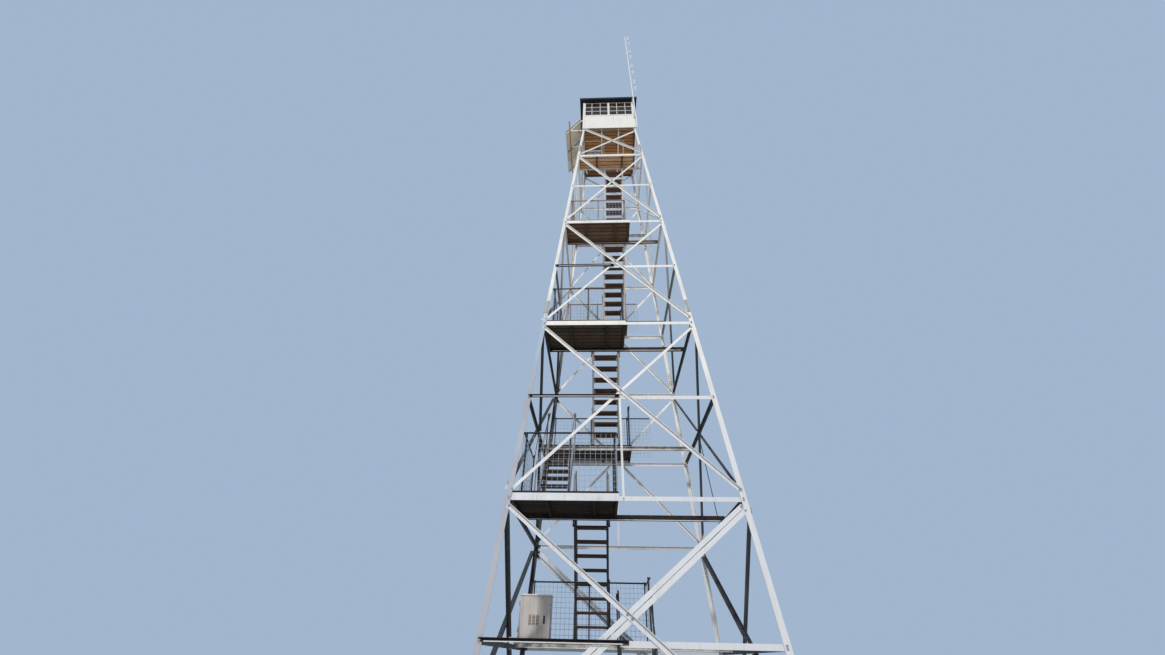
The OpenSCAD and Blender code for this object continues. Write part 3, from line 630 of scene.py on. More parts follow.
def sleeve(bm, place, radius, hole, length, segments=20):
    """A short tube along z from the frame's origin."""
    rings = []
    for r in (radius, hole):
        made = bmesh.ops.create_circle(bm, segments=segments, radius=r, matrix=place)
        rings += edges_of(made["verts"])
    faces = bmesh.ops.bridge_loops(bm, edges=rings)["faces"]
    grown = bmesh.ops.extrude_face_region(bm, geom=faces)["geom"]
    verts = [item for item in grown if isinstance(item, bmesh.types.BMVert)]
    up = place.to_3x3() @ Vector((0, 0, length))
    bmesh.ops.translate(bm, verts=verts, vec=up)


def aim(point, direction):
    """A frame at a point with z along a direction."""
    return at(point) @ Vector(direction).to_track_quat("Z", "Y").to_matrix().to_4x4()


def hex_bolt(bm, place, size=0.02, washer=True):
    """A hexagon head on a washer, standing on the frame's z = 0 plane."""
    base = 0.0
    if washer:
        rod(bm, place, size * 0.95, size * 0.15, segments=10)
        base = size * 0.15
    seat = place @ at((0, 0, base))
    rod(bm, seat, size * 0.75, size * 0.5, segments=6, radius_end=size * 0.68)
    return seat


def bolt_with_nut(bm, place, grip, size=0.02):
    """A head on one side and a nut with its thread's end on the other."""
    hex_bolt(bm, place, size)
    back = place @ at((0, 0, -grip)) @ Matrix.Rotation(math.pi, 4, "X")
    seat = hex_bolt(bm, back, size)
    rod(bm, seat @ at((0, 0, size * 0.5)), size * 0.4, size * 0.35, segments=8)


def solids_of(name):
    """The separate solids of a CAD node, each as its lowest and highest corner."""
    mesh = nodes[name].data
    keys = {}
    ids = []
    for vert in mesh.vertices:
        key = tuple(round(c, 5) for c in vert.co)
        ids.append(keys.setdefault(key, len(keys)))
    parent = list(range(len(keys)))

    def root(i):
        while parent[i] != i:
            parent[i] = parent[parent[i]]
            i = parent[i]
        return i

    for face in mesh.polygons:
        first = root(ids[face.vertices[0]])
        for v in face.vertices[1:]:
            parent[root(ids[v])] = first
    boxes = {}
    for vert in mesh.vertices:
        key = root(ids[vert.index])
        low, high = boxes.setdefault(key, (vert.co.copy(), vert.co.copy()))
        for axis in range(3):
            low[axis] = min(low[axis], vert.co[axis])
            high[axis] = max(high[axis], vert.co[axis])
    return sorted(boxes.values(), key=lambda pair: tuple(round(c, 4) for c in (*pair[0], *pair[1])))


def shaded_bmesh():
    """A bmesh whose faces hold each board's tone with its painted shade and light, and the layer that they
    hold it in.
    """
    bm = bmesh.new()
    return bm, bm.loops.layers.float_color.new("shade")


def paint_shade(layer, verts, value, warm=0.0, arris=1.0, under=(1.0, 0.0)):
    """Writes one board's tone with its painted shade on its faces, a part of it on its chamfers, and on its
    underside its own painted light and shade.
    """
    for face in {face for vert in verts for face in vert.link_faces}:
        face.normal_update()
        flat = max(abs(c) for c in face.normal) > 0.95
        own = value if flat else value * arris
        red = warm
        # Painted light and shade on the underside: its own gain and warmth.
        if face.normal.z < -0.95:
            own = value * under[0]
            red = warm + under[1]
        for loop in face.loops:
            loop[layer] = (own * (1 + red), own, own * (1 - red), 1.0)


# Footings


def pier_blocks():
    """Cast piers with chamfered arrises, a little uneven, and a bed of mortar under each plate."""
    bm = bmesh.new()
    for low, high in solids_of("concrete_piers"):
        verts = block(bm, low, high, bevel=0.022, segments=2)
        edges = [e for e in edges_of(verts) if e.calc_length() > 0.3]
        bmesh.ops.subdivide_edges(bm, edges=edges, cuts=7, use_grid_fill=True)
    for vert in bm.verts:
        x, y = (round(c / GROUND_HALF) * GROUND_HALF for c in vert.co.xy)
        pull = (Vector((x, y, PIER_TOP / 2)) - vert.co).normalized()
        if vert.co.z > 0.02:
            vert.co += pull * rng.uniform(0.0, 0.004)
    for low, high in solids_of("base_plates"):
        block(bm, (low.x - MORTAR_OUT, low.y - MORTAR_OUT, PIER_TOP - 0.012),
              (high.x + MORTAR_OUT, high.y + MORTAR_OUT, PIER_TOP + 0.006), bevel=0.008)
    finish_piece("pier_blocks", bm, CONCRETE, stands_for=("concrete_piers",))


def foot_fixings():
    """Anchor bolts, and clip angles at the legs' feet."""
    clips = bmesh.new()
    bolts = bmesh.new()
    washer_t = 0.005
    bolt_in = 0.055
    clip_from = 0.115
    clip_to = 0.02
    for low, high in solids_of("base_plates"):
        centre = (low + high) / 2
        reach = (high.x - low.x) / 2 - bolt_in
        for sx, sy in CORNERS:
            spot = at((centre.x + sx * reach, centre.y + sy * reach, high.z))
            rod(bolts, spot, 0.03, washer_t, segments=16)
            seat = hex_bolt(bolts, spot @ at((0, 0, washer_t)), 0.034, washer=False)
            rod(bolts, seat, 0.0125, 0.055)
    x = half_at(PLATE_TOP)
    near = LEG_T + 0.002
    for turn in map(quarter, range(4)):
        for far, tall in ((LEG_T + 0.014, 0.11), (LEG_T + 0.09, 0.012)):
            top = PLATE_TOP + tall
            for low, high in (
                ((x - clip_from, -x + near), (x - clip_to, -x + far)),
                ((x - far, -x + clip_to), (x - near, -x + clip_from)),
            ):
                block(clips, (*low, PLATE_TOP), (*high, top), turn, bevel=0.002)
    steel_piece("anchor_bolts", bolts)
    steel_piece("foot_clip_angles", clips, PLATE_STEEL)


# Steelwork


def storey_ends(n, to):
    low = FOOT_Z if n == 0 else level(2 * n - 1) + BRACE_GAP - GIRT_H
    high = CAB_LEVEL - BRACE_GAP if n == 4 else level(2 * n + 1) - BRACE_GAP
    if n == 4 and to < 0:
        high = CAB_LEVEL - OUTER_GAP
    return low, high


def brace_line(n, to, inset):
    """Both ends of a brace's middle line, as points of its side's frame without depth."""
    low, high = storey_ends(n, to)
    start = Vector((-to * (half_at(low) - inset), 0, low / COS_BETA))
    end = Vector((to * (half_at(high) - inset), 0, high / COS_BETA))
    return start, end


def crossing(a, b, c, d):
    """Where two lines in a side's frame cross."""
    u = b - a
    v = d - c
    t = ((c.x - a.x) * v.z - (c.z - a.z) * v.x) / (u.x * v.z - u.z * v.x)
    return a + u * t


def outward(k, x, z, depth):
    """A frame on a side with its z axis pointing out of the side."""
    return on_face(k) @ at((x, depth, z)) @ spin(90, "X")


def brace_bolts():
    """Bolts at the ends and the crossing of every pair of braces."""
    bm = bmesh.new()
    end_in = 0.03
    size = 0.022
    for k, n in itertools.product(range(4), range(5)):
        outer = brace_line(n, -1, BRACE_IN)
        for a, b in (outer, outer[::-1]):
            spot = a + (b - a).normalized() * end_in
            bolt_with_nut(bm, outward(k, spot.x, spot.z, -BAR_T), BAR_T + LEG_T, size)
        inner = brace_line(n, 1, PAIR_IN if n == 0 else BRACE_IN)
        along = (inner[1] - inner[0]).normalized()
        side = Vector((along.z, 0, -along.x))
        for offset in (-PAIR_HALF, PAIR_HALF) if n == 0 else (0.0,):
            a, b = (end + side * offset for end in inner)
            for spot in (a + along * end_in, b - along * end_in):
                bolt_with_nut(bm, outward(k, spot.x, spot.z, 0), GIRT_Y, size)
            spot = crossing(*outer, a, b)
            bolt_with_nut(bm, outward(k, spot.x, spot.z, -BAR_T), BAR_T + GIRT_Y, size)
            rod(bm, outward(k, spot.x, spot.z, INNER_Y), size, INNER_Y, segments=14)
    steel_piece("brace_bolts", bm)


def girt_bolts():
    """Bolts through the legs into the girts, and at the ends of hangers and split girts."""
    bm = bmesh.new()
    bolt_in = 0.057
    inner_bolt_in = GIRT_END + 0.009
    for k, n in itertools.product(range(4), range(9)):
        top = level(n) / COS_BETA
        half = half_at(level(n))
        for s in SIDES:
            covered_by_brace = n == 8 and s < 0
            if not covered_by_brace:
                for drop in (0.022, 0.058):
                    bolt_with_nut(bm, outward(k, s * (half - bolt_in), top - drop, 0), GIRT_Y, 0.02)
            split = k == 0 and n in SPLIT_GIRTS and s < 0
            if not split:
                for drop in (0.024, 0.058):
                    hex_bolt(bm, outward(k, s * (half - inner_bolt_in), top - drop, INNER_Y), 0.014)
    for k in range(4):
        for z in (level(1) / COS_BETA - 0.04, level(2) / COS_BETA - 0.045):
            bolt_with_nut(bm, outward(k, -0.02, z, INNER_Y), 0.016, 0.018)
    for n in SPLIT_GIRTS:
        spot = outward(0, -half_at(level(n)) + 0.06, level(n) / COS_BETA - 0.028, -BAR_T)
        bolt_with_nut(bm, spot, BAR_T + LEG_T, 0.018)
    steel_piece("girt_bolts", bm)


def leg_splices():
    """Splice plates over the joints of the legs' lengths, with their bolts."""
    plates = bmesh.new()
    bolts = bmesh.new()
    joint_up = 0.5
    row_gap = 0.11
    leg_middle = 0.046
    for k, (n, width), s, end in itertools.product(range(4), ((3, 0.078), (7, 0.066)), SIDES, SIDES):
        z = (level(n) + joint_up) / COS_BETA + end * row_gap
        x = s * (half_at(z * COS_BETA) - leg_middle)
        place = on_face(k) @ at((x, 0, z)) @ Matrix.Rotation(-s * BETA, 4, "Y")
        if end < 0:
            block(plates, (-width / 2, -SPLICE_T, -0.1), (width / 2, 0.0, 0.32), place, bevel=0.002)
        for row in (-0.07, -0.005, 0.06):
            spot = place @ at((0.018, -SPLICE_T, row)) @ spin(90, "X")
            bolt_with_nut(bolts, spot, SPLICE_T + LEG_T, 0.018)
    steel_piece("leg_splice_plates", plates, PLATE_STEEL)
    steel_piece("leg_splice_bolts", bolts)


# Boards and treads


def planks(bm, layer, low, high, pitch, gap, base_shade, under, skip=None):
    """Fills a rectangle with planks along x, laid side by side in y."""
    count = max(1, round((high.y - low.y) / pitch))
    step = (high.y - low.y) / count
    for i in range(count):
        y1 = low.y + i * step + gap / 2
        y2 = low.y + (i + 1) * step - gap / 2
        runs = [(low.x, high.x)]
        if skip is not None and y1 < skip[1].y and y2 > skip[0].y:
            runs = [(low.x, skip[0].x), (skip[1].x, high.x)]
        for x1, x2 in runs:
            end_in = rng.uniform(0.0, 0.006)
            sink = rng.uniform(0.0, 0.0025)
            low_corner = (x1 + end_in, y1, low.z + sink * 0.2)
            verts = block(bm, low_corner, (x2 - end_in, y2, high.z - sink), bevel=0.009)
            shade = base_shade * rng.uniform(0.72, 1.25)
            paint_shade(layer, verts, shade, rng.uniform(-0.05, 0.08), arris=0.15, under=under)


def up_the_tower(z):
    """0 at the lowest girt and 1 under the cab."""
    return (z - LOW_GIRT) / (CAB_LEVEL - LOW_GIRT)


def deck_boards(name, node):
    """The landing's boards, with painted shade and light: darker on the lower landings, with darker
    undersides that turn bluer low down, and lightened, warmer undersides on the top landing.
    """
    bm, layer = shaded_bmesh()
    for low, high in solids_of(node):
        height = up_the_tower(low.z)
        # Painted shade: darker lower down the tower.
        shade = max(0.12, 1.3 * (height - 0.1))
        # Painted light on the top landing's undersides; painted shade under the others.
        if height > 0.8:
            under = (2.2, 0.12)
        else:
            under = (0.8, 0.5 * height - 0.28)
        planks(bm, layer, low, high, BOARD_PITCH, 0.007, shade, under)
    finish_piece(name, bm, DECK_WOOD, stands_for=(node,))


def cab_floor_boards():
    bm, layer = shaded_bmesh()
    low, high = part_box("cab_floor")
    # Painted light: the undersides are lightened and warmed, as by light thrown up from below.
    planks(bm, layer, low, high, BOARD_PITCH, 0.006, 1.1, (1.15, 0.38), skip=HATCH)
    finish_piece("cab_floor_boards", bm, DECK_WOOD, stands_for=("cab_floor",))


def tread_planks():
    bm, layer = shaded_bmesh()
    for low, high in solids_of("stair_treads"):
        # Painted shade: the treads are darker lower down the tower.
        shade = 0.5 + 0.85 * up_the_tower(low.z)
        middle = (low.y + high.y) / 2
        for y1, y2 in ((low.y, middle - 0.003), (middle + 0.003, high.y)):
            top = high.z - rng.uniform(0, 0.002)
            verts = block(bm, (low.x, y1, low.z), (high.x, y2, top), bevel=0.004, segments=2)
            paint_shade(layer, verts, shade * rng.uniform(0.75, 1.2), rng.uniform(0.0, 0.1), arris=0.5)
    finish_piece("tread_planks", bm, TREAD_WOOD, stands_for=("stair_treads",))


def tread_cleats():
    """A small angle under each end of every tread, with two screws up into the tread."""
    bm = bmesh.new()
    screws = bmesh.new()
    for low, high in solids_of("stair_treads"):
        y1 = low.y + 0.04
        y2 = high.y - 0.04
        for x, s in ((low.x, 1), (high.x, -1)):
            for out, z1, z2 in ((0.035, -0.005, 0.0), (0.0055, -0.035, -0.004)):
                a, b = sorted((x + s * 0.0005, x + s * out))
                block(bm, (a, y1, low.z + z1), (b, y2, low.z + z2), bevel=0.001)
            for y in (y1 + 0.025, y2 - 0.025):
                hex_bolt(screws, aim((x + s * 0.02, y, low.z - 0.005), (0, 0, -1)), 0.009)
    steel_piece("tread_cleats", bm, STAIR_STEEL)
    steel_piece("tread_screws", screws)


def joist_shade():
    """The joists in wood, each with its own tone and painted shade, darker lower down the tower."""
    bm, layer = shaded_bmesh()
    for low, high in solids_of("landing_joists"):
        # Painted shade: darker lower down the tower.
        shade = max(0.12, 1.2 * (up_the_tower(low.z) - 0.1))
        verts = block(bm, low, high, bevel=0.003)
        paint_shade(layer, verts, shade * rng.uniform(0.8, 1.2), rng.uniform(-0.04, 0.06))
    finish_piece("joist_timbers", bm, JOIST_WOOD, stands_for=("landing_joists",))


def beam_lips():
    """The bright rolled edge at the foot of each landing beam and split girt."""
    bm = bmesh.new()
    for node in ("landing_beams", "front_half_girts"):
        for low, high in solids_of(node):
            if high.x - low.x < 0.5:
                continue
            corner = (low.x + 0.09, low.y - 0.0015, low.z)
            block(bm, corner, (high.x - 0.09, low.y + 0.0005, low.z + 0.013), bevel=0.0006)
    steel_piece("beam_lips", bm, STEEL)


# Rails, posts and mesh


def pipe_fittings():
    """Floor flanges and caps of the guard posts, and collars and caps of the stair rails' posts."""
    guards = bmesh.new()
    screws = bmesh.new()
    stair = bmesh.new()
    r = POST_D / 2
    screw_in = 0.03 * math.sqrt(0.5)
    for bm, node in ((guards, "landing_guard_posts"), (stair, "stair_rail_posts")):
        for low, high in solids_of(node):
            x = (low.x + high.x) / 2
            y = (low.y + high.y) / 2
            rod(bm, at((x, y, high.z)), r + 0.001, 0.005, segments=16, radius_end=r - 0.005)
            if bm is stair:
                rings = ((high.z - 0.075, r + 0.004, 0.05), (low.z, r + 0.004, 0.03))
            else:
                rings = ((low.z, 0.038, 0.006), (low.z, r + 0.005, 0.035))
                for sx, sy in CORNERS:
                    spot = at((x + sx * screw_in, y + sy * screw_in, low.z + 0.006))
                    rod(screws, spot, 0.0045, 0.003, segments=6)
            for z, radius, length in rings:
                rod(bm, at((x, y, z)), radius, length, segments=16)
    finish_piece("guard_post_fittings", guards, GUARD_PIPE, smooth=True)
    steel_piece("guard_post_screws", screws)
    finish_piece("stair_rail_collars", stair, STAIR_STEEL, smooth=True)


def wire_panel(bm, corner, along, width, height, pitch=0.1, wire=0.0032):
    """A panel of welded wire that stands on its corner."""
    along = Vector(along).normalized()
    count = int(width / pitch)
    for i in range(count + 1):
        spot = corner + along * (i * width / count)
        rod(bm, at(spot), wire, height, segments=4)
    rows = int(height / pitch)
    for i in range(rows + 1):
        spot = corner + Vector((0, 0, i * height / rows))
        rod(bm, aim(spot, along), wire, width, segments=4)


def guard_mesh():
    """Wire mesh under the lower guard rails; at the front of the second landing it ends at the stairs."""
    bm = bmesh.new()
    for node in ("front_landing_guards", "rear_landing_guards"):
        for low, high in solids_of(node):
            size = high - low
            middle = (low + high) / 2
            n = round((middle.z - LOW_GIRT - GUARD_H) / HALF_STOREY)
            floor_z = level(n) + DECK_TOP + 0.015
            if middle.z > level(6):
                continue
            if size.x > size.y:
                spot = Vector((low.x + 0.07, middle.y, floor_z))
                width = MESH_END - spot.x if n == 3 else size.x - 0.08
                wire_panel(bm, spot, (1, 0, 0), width, middle.z - floor_z)
            else:
                spot = Vector((middle.x, low.y + 0.03, floor_z))
                wire_panel(bm, spot, (0, 1, 0), size.y - 0.06, middle.z - floor_z)
    steel_piece("guard_wire_mesh", bm, MESH_WIRE)


# Cab


def wall_trim():
    """Corner boards, skirt, sills and cover strips, and a frieze in the soffit's dark finish over the
    windows, which also stands for the eaves' shadow on the window heads.
    """
    bm = bmesh.new()
    frieze = bmesh.new()
    skirt_high = FLOOR_TOP + 0.05
    frieze_low = SILL_Z + WINDOW_H - SASH_W
    sill_low = SILL_Z - 0.03
    strip_high = SILL_Z - 0.075
    face = -CAB_HALF
    front = face - TRIM_OUT
    corner = CAB_HALF - TRIM_W
    sill = corner + 0.002
    post = MULLION_W / 2
    strip_pitch = 0.49
    strip_half = 0.02
    for k in range(4):
        turn = quarter(k)
        ends = CAB_HALF + TRIM_OUT if k % 2 == 0 else CAB_HALF
        # Partly painted shadow: the dark frieze also stands for the eaves' shadow on the window heads.
        block(frieze, (-ends, front, frieze_low), (ends, face, WALL_TOP - 0.001), turn, bevel=0.002)
        for x1, x2, z1, z2 in (
            (-ends, ends, FLOOR_TOP - 0.01, skirt_high), (-ends, -corner, skirt_high, frieze_low),
            (corner, ends, skirt_high, frieze_low), (-post, post, SILL_Z, frieze_low),
        ):
            block(bm, (x1, front, z1), (x2, face, z2), turn, bevel=0.003)
        block(bm, (-sill, front, sill_low), (sill, face, SILL_Z + 0.002), turn, bevel=0.004, segments=2)
        block(bm, (-sill, face - 0.01, strip_high), (sill, face, sill_low), turn, bevel=0.003)
        for x in (-strip_pitch, 0.0, strip_pitch):
            block(bm, (x - strip_half, face - 0.004, skirt_high), (x + strip_half, face, strip_high), turn,
                  bevel=0.0015)
    finish_piece("cab_frieze", frieze, SOFFIT_WOOD)
    finish_piece("cab_trim", bm, WHITE_WALLS)


def wall_lining():
    """Level boards on the inner faces of the walls, below the windows."""
    bm = bmesh.new()
    inner = CAB_HALF - WALL_T
    count = 8
    step = (SILL_Z - FLOOR_TOP - 0.01) / count
    for k in range(4):
        reach = inner if k % 2 == 0 else inner - 0.009
        for i in range(count):
            z = FLOOR_TOP + 0.004 + i * step
            block(bm, (-reach, -inner, z), (reach, -inner + 0.008, z + step - 0.002), quarter(k), bevel=0.003)
    finish_piece("wall_lining", bm, LINING_WOOD)


def sash_places(height):
    """Each sash's side of the wall, its middle and a frame there at a height."""
    for k, s in itertools.product(range(4), SIDES):
        middle = s * (WINDOW_W + MULLION_W) / 2
        yield s, middle, quarter(k) @ at((middle, -CAB_HALF, height))


def glazing_bars():
    """Two upright and two level bars in each sash; the panes beside the corners are narrower."""
    bm = bmesh.new()
    half_bar = 0.011
    half = WINDOW_W / 2 - SASH_W
    tall = WINDOW_H - 2 * SASH_W
    for s, middle, place in sash_places(SILL_Z + SASH_W):
        for i in (1, 2):
            x = s * i * BAR_PITCH - middle
            block(bm, (x - half_bar, 0.008, 0), (x + half_bar, 0.042, tall), place, bevel=0.004)
            z = i * tall / 3
            block(bm, (-half, 0.009, z - half_bar), (half, 0.041, z + half_bar), place, bevel=0.004)
    finish_piece("glazing_bars", bm, WHITE_WALLS)


def sash_frames():
    """The eight sashes, with bevelled arrises."""
    bm = bmesh.new()
    half = WINDOW_W / 2
    inner = half - SASH_W
    for _, _, place in sash_places(SILL_Z):
        for a, b in ((-half, -inner), (inner, half)):
            block(bm, (a, 0.005, 0), (b, 0.045, WINDOW_H), place, bevel=0.003)
        for a, b in ((0, SASH_W), (WINDOW_H - SASH_W, WINDOW_H)):
            block(bm, (-inner, 0.006, a), (inner, 0.044, b), place, bevel=0.003)
    finish_piece("sash_frames", bm, WHITE_WALLS, stands_for=("window_sashes",))


def ceiling_boards():
    """Narrow boards under the eaves, laid parallel to each eave, and across the room."""
    room = bmesh.new()
    low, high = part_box("cab_ceiling")
    inner = CAB_HALF - 0.01
    count = 15
    step = 2 * inner / count
    for i in range(count):
        y = -inner + i * step
        block(room, (-inner, y + 0.001, low.z), (inner, y + step - 0.001, high.z), bevel=0.003)
    finish_piece("room_ceiling_boards", room, CEILING_WOOD, stands_for=("cab_ceiling",))
    eaves = bmesh.new()
    rows = 3
    deep = (high.x - inner) / rows
    for k in range(4):
        for i in range(rows):
            y2 = -inner - i * deep - 0.001
            y1 = -inner - (i + 1) * deep + 0.001
            reach = inner + (i + 1) * deep if k % 2 == 0 else inner + i * deep
            block(eaves, (-reach, y1, low.z), (reach, y2, high.z), quarter(k), bevel=0.003)
    finish_piece("eave_soffit_boards", eaves, SOFFIT_WOOD)


def roof_seams():
    """Standing seams, caps over the hips, a drip edge and the cap at the top."""
    bm = bmesh.new()
    edges = bmesh.new()
    half, _, peak_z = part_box("hip_roof")[1]
    eave_z = WALL_TOP + FASCIA_H + 0.015
    slope = math.atan2(peak_z - eave_z, half)
    lean = Matrix.Rotation(slope, 4, "X")
    seam_in = 0.06
    seam_pitch = 0.32
    corner = Vector((half - 0.006, -half + 0.006, eave_z))
    hip = Vector((0, 0, peak_z - 0.004)) - corner
    for turn in map(quarter, range(4)):
        for i in range(-3, 4):
            x = i * seam_pitch
            length = (half - abs(x) - seam_in - 0.008) / math.cos(slope)
            place = turn @ at((x, -half + seam_in, eave_z + seam_in * math.tan(slope))) @ lean
            block(bm, (-0.009, 0, -0.004), (0.009, length, 0.024), place, bevel=0.003)
        rod(bm, turn @ aim(corner, hip), 0.02, hip.length, segments=10)
        block(edges, (-half, -half, eave_z - 0.014), (half, -half + 0.004, eave_z + 0.004), turn, bevel=0.001)
    rod(bm, at((0, 0, peak_z - 0.02)), 0.075, 0.05, segments=16, radius_end=0.02)
    finish_piece("roof_drip_edge", edges, DRIP_EDGE)
    finish_piece("roof_seams", bm, ROOF_SHEET, smooth=True)


# Aerial


def along_mast():
    """The leaning mast's frame, whose heights are measured from the cab's floor."""
    place = at((MAST_X, -MAST_Y, FLOOR_TOP + LEAN_PLACE))
    return place @ Matrix.Rotation(-MAST_LEAN, 4, "Y") @ at((0, 0, -LEAN_PLACE))


def aerial_fittings():
    """Clamp blocks and U bolts on the mast, a cap, and insulators in the loops' gaps."""
    metal = bmesh.new()
    black = bmesh.new()
    mast = along_mast()
    r = MAST_D / 2
    top = MAST_TOP - FLOOR_TOP
    wall = -CAB_HALF - TRIM_OUT

    def bolt(x, y, z, direction, longer):
        rod(metal, mast @ aim((x, y, z), direction), CLAMP_BOLT_R, 2 * r + longer, segments=8)

    for i in range(4):
        z = top - MAST_TIP - LOOP_H / 2 - i * LOOP_PITCH
        for a, b in ((-r - 0.012, -r + 0.002), (r - 0.002, r + 0.022)):
            block(metal, (a, -0.03, z - 0.03), (b, 0.03, z + 0.03), mast, bevel=0.003)
        for sy, sz in CORNERS:
            bolt(-r - 0.03, sy * 0.026, z + sz * 0.018, (1, 0, 0), 0.07)
        for x, half, deep, tall in ((LOOP_INNER, 0.017, 0.018, 0.035), (LOOP_OUTER, 0.012, 0.0125, 0.03)):
            block(black, (x - half, -deep, z - tall), (x + half, deep, z + tall), mast, bevel=0.004)
    rod(black, mast @ at((0, 0, top - 0.02)), r + 0.002, 0.019, segments=20)
    for low, high in solids_of("aerial_clamps"):
        z = (low.z + high.z) / 2 - FLOOR_TOP
        for dz in (-0.014, 0.014):
            for dx in (-r - 0.006, r + 0.006):
                bolt(dx, -r - 0.008, z + dz, (0, 1, 0), 0.04)
            bolt(-r - 0.01, -r - 0.006, z + dz, (1, 0, 0), 0.02)
        block(metal, (-r - 0.016, r, z - 0.024), (r + 0.016, r + 0.008, z + 0.024), mast, bevel=0.002)
        block(metal, (low.x - 0.01, wall - 0.008, low.z - 0.025), (CAB_HALF, wall + 0.002, high.z + 0.025),
              bevel=0.002)
    finish_piece("aerial_fittings", metal, AERIAL_METAL)
    finish_piece("aerial_insulators", black, BLACK_PLASTIC)


# Solar panels


def slope_frame():
    turn = Matrix.Rotation(math.pi - PANEL_TILT, 4, "Y")
    return at((PANEL_X, 0, PANEL_Z)) @ turn


def panel_bars(bm, place, outer, inner, low, high, sink, bevel):
    """Bars round a panel between two distances from its edges, those along it a little sunk."""
    for a, b in ((outer, inner), (PANEL_LEN - inner, PANEL_LEN - outer)):
        block(bm, (a, outer, low), (b, PANEL_W - outer, high), place, bevel=bevel)
    for a, b in ((outer, inner), (PANEL_W - inner, PANEL_W - outer)):
        block(bm, (inner, a, low + sink), (PANEL_LEN - inner, b, high - sink), place, bevel=bevel)


def solar_modules():
    """Aluminium frames round a cream back sheet, with glass over the cells on the outside."""
    frames, backs, cells, boxes = (bmesh.new() for _ in range(4))
    rim = 0.012
    lip = 0.03
    gap = 0.002
    rows, columns = 7, 6
    dx = (PANEL_LEN - 2 * lip) / rows
    dy = (PANEL_W - 2 * lip) / columns
    middle = PANEL_W / 2
    for i in range(2):
        place = slope_frame() @ at((0, PANEL_Y + i * (PANEL_W + PANEL_GAP), 0))
        panel_bars(frames, place, 0, rim, 0, PANEL_T, 0.0005, 0.0015)
        panel_bars(frames, place, rim, lip, PANEL_T - 0.002, PANEL_T, 0, 0.0005)
        block(backs, (rim, rim, 0.0065), (PANEL_LEN - rim, PANEL_W - rim, 0.009), place)
        block(cells, (rim, rim, 0.0025), (PANEL_LEN - rim, PANEL_W - rim, 0.0063), place)
        for r, c in itertools.product(range(rows), range(columns)):
            x = lip + r * dx
            y = lip + c * dy
            block(cells, (x + gap, y + gap, 0.0012), (x + dx - gap, y + dy - gap, 0.003), place, bevel=0.0006)
        block(boxes, (PANEL_LEN - lip - 0.025, lip, 0.009), (PANEL_LEN - lip, PANEL_W - lip, 0.012), place,
              bevel=0.001)
        block(boxes, (0.1, middle - 0.06, 0.009), (0.2, middle + 0.06, 0.032), place, bevel=0.005, segments=2)
    finish_piece("solar_frames", frames, FRAME_METAL, stands_for=("solar_panels",))
    finish_piece("solar_back_sheets", backs, BACKSHEET)
    finish_piece("solar_cells", cells, SOLAR_GLASS)
    finish_piece("solar_junction_boxes", boxes, BLACK_PLASTIC)


def bracket_details():
    """Wall plates and bolts of the solar brackets, and U bolts that hold the pipe under their bars."""
    plates = bmesh.new()
    bolts = bmesh.new()
    slope = slope_frame()
    under = PANEL_T + BRACKET_W
    over = under + RAIL_D_SOLAR
    half = RAIL_D_SOLAR / 2
    wall = -CAB_HALF - WALL_PLATE_T
    for place in BRACKET_PLACES:
        y = place + BRACKET_W / 2
        for s in SIDES:
            spot = slope @ aim((RAIL_PLACE + s * (half + 0.005), y, under - 0.004), (0, 0, 1))
            rod(bolts, spot, CLAMP_BOLT_R, RAIL_D_SOLAR + 0.012, segments=8)
        block(bolts, (RAIL_PLACE - half - 0.014, y - 0.009, over),
              (RAIL_PLACE + half + 0.014, y + 0.009, over + 0.005), slope, bevel=0.001)
    for low, high in solids_of("solar_brackets"):
        y = (low.y + high.y) / 2
        for z in (PANEL_Z - 0.058, FLOOR_TOP + 0.062):
            block(plates, (wall, y - 0.045, z - 0.06), (-CAB_HALF, y + 0.045, z + 0.06), bevel=0.002)
            for sy, sz in CORNERS:
                hex_bolt(bolts, aim((wall, y + sy * 0.033, z + sz * 0.042), (-1, 0, 0)), 0.011)
    finish_piece("bracket_wall_plates", plates, WHITE_BARS)
    steel_piece("bracket_bolts", bolts)


# Equipment cabinet


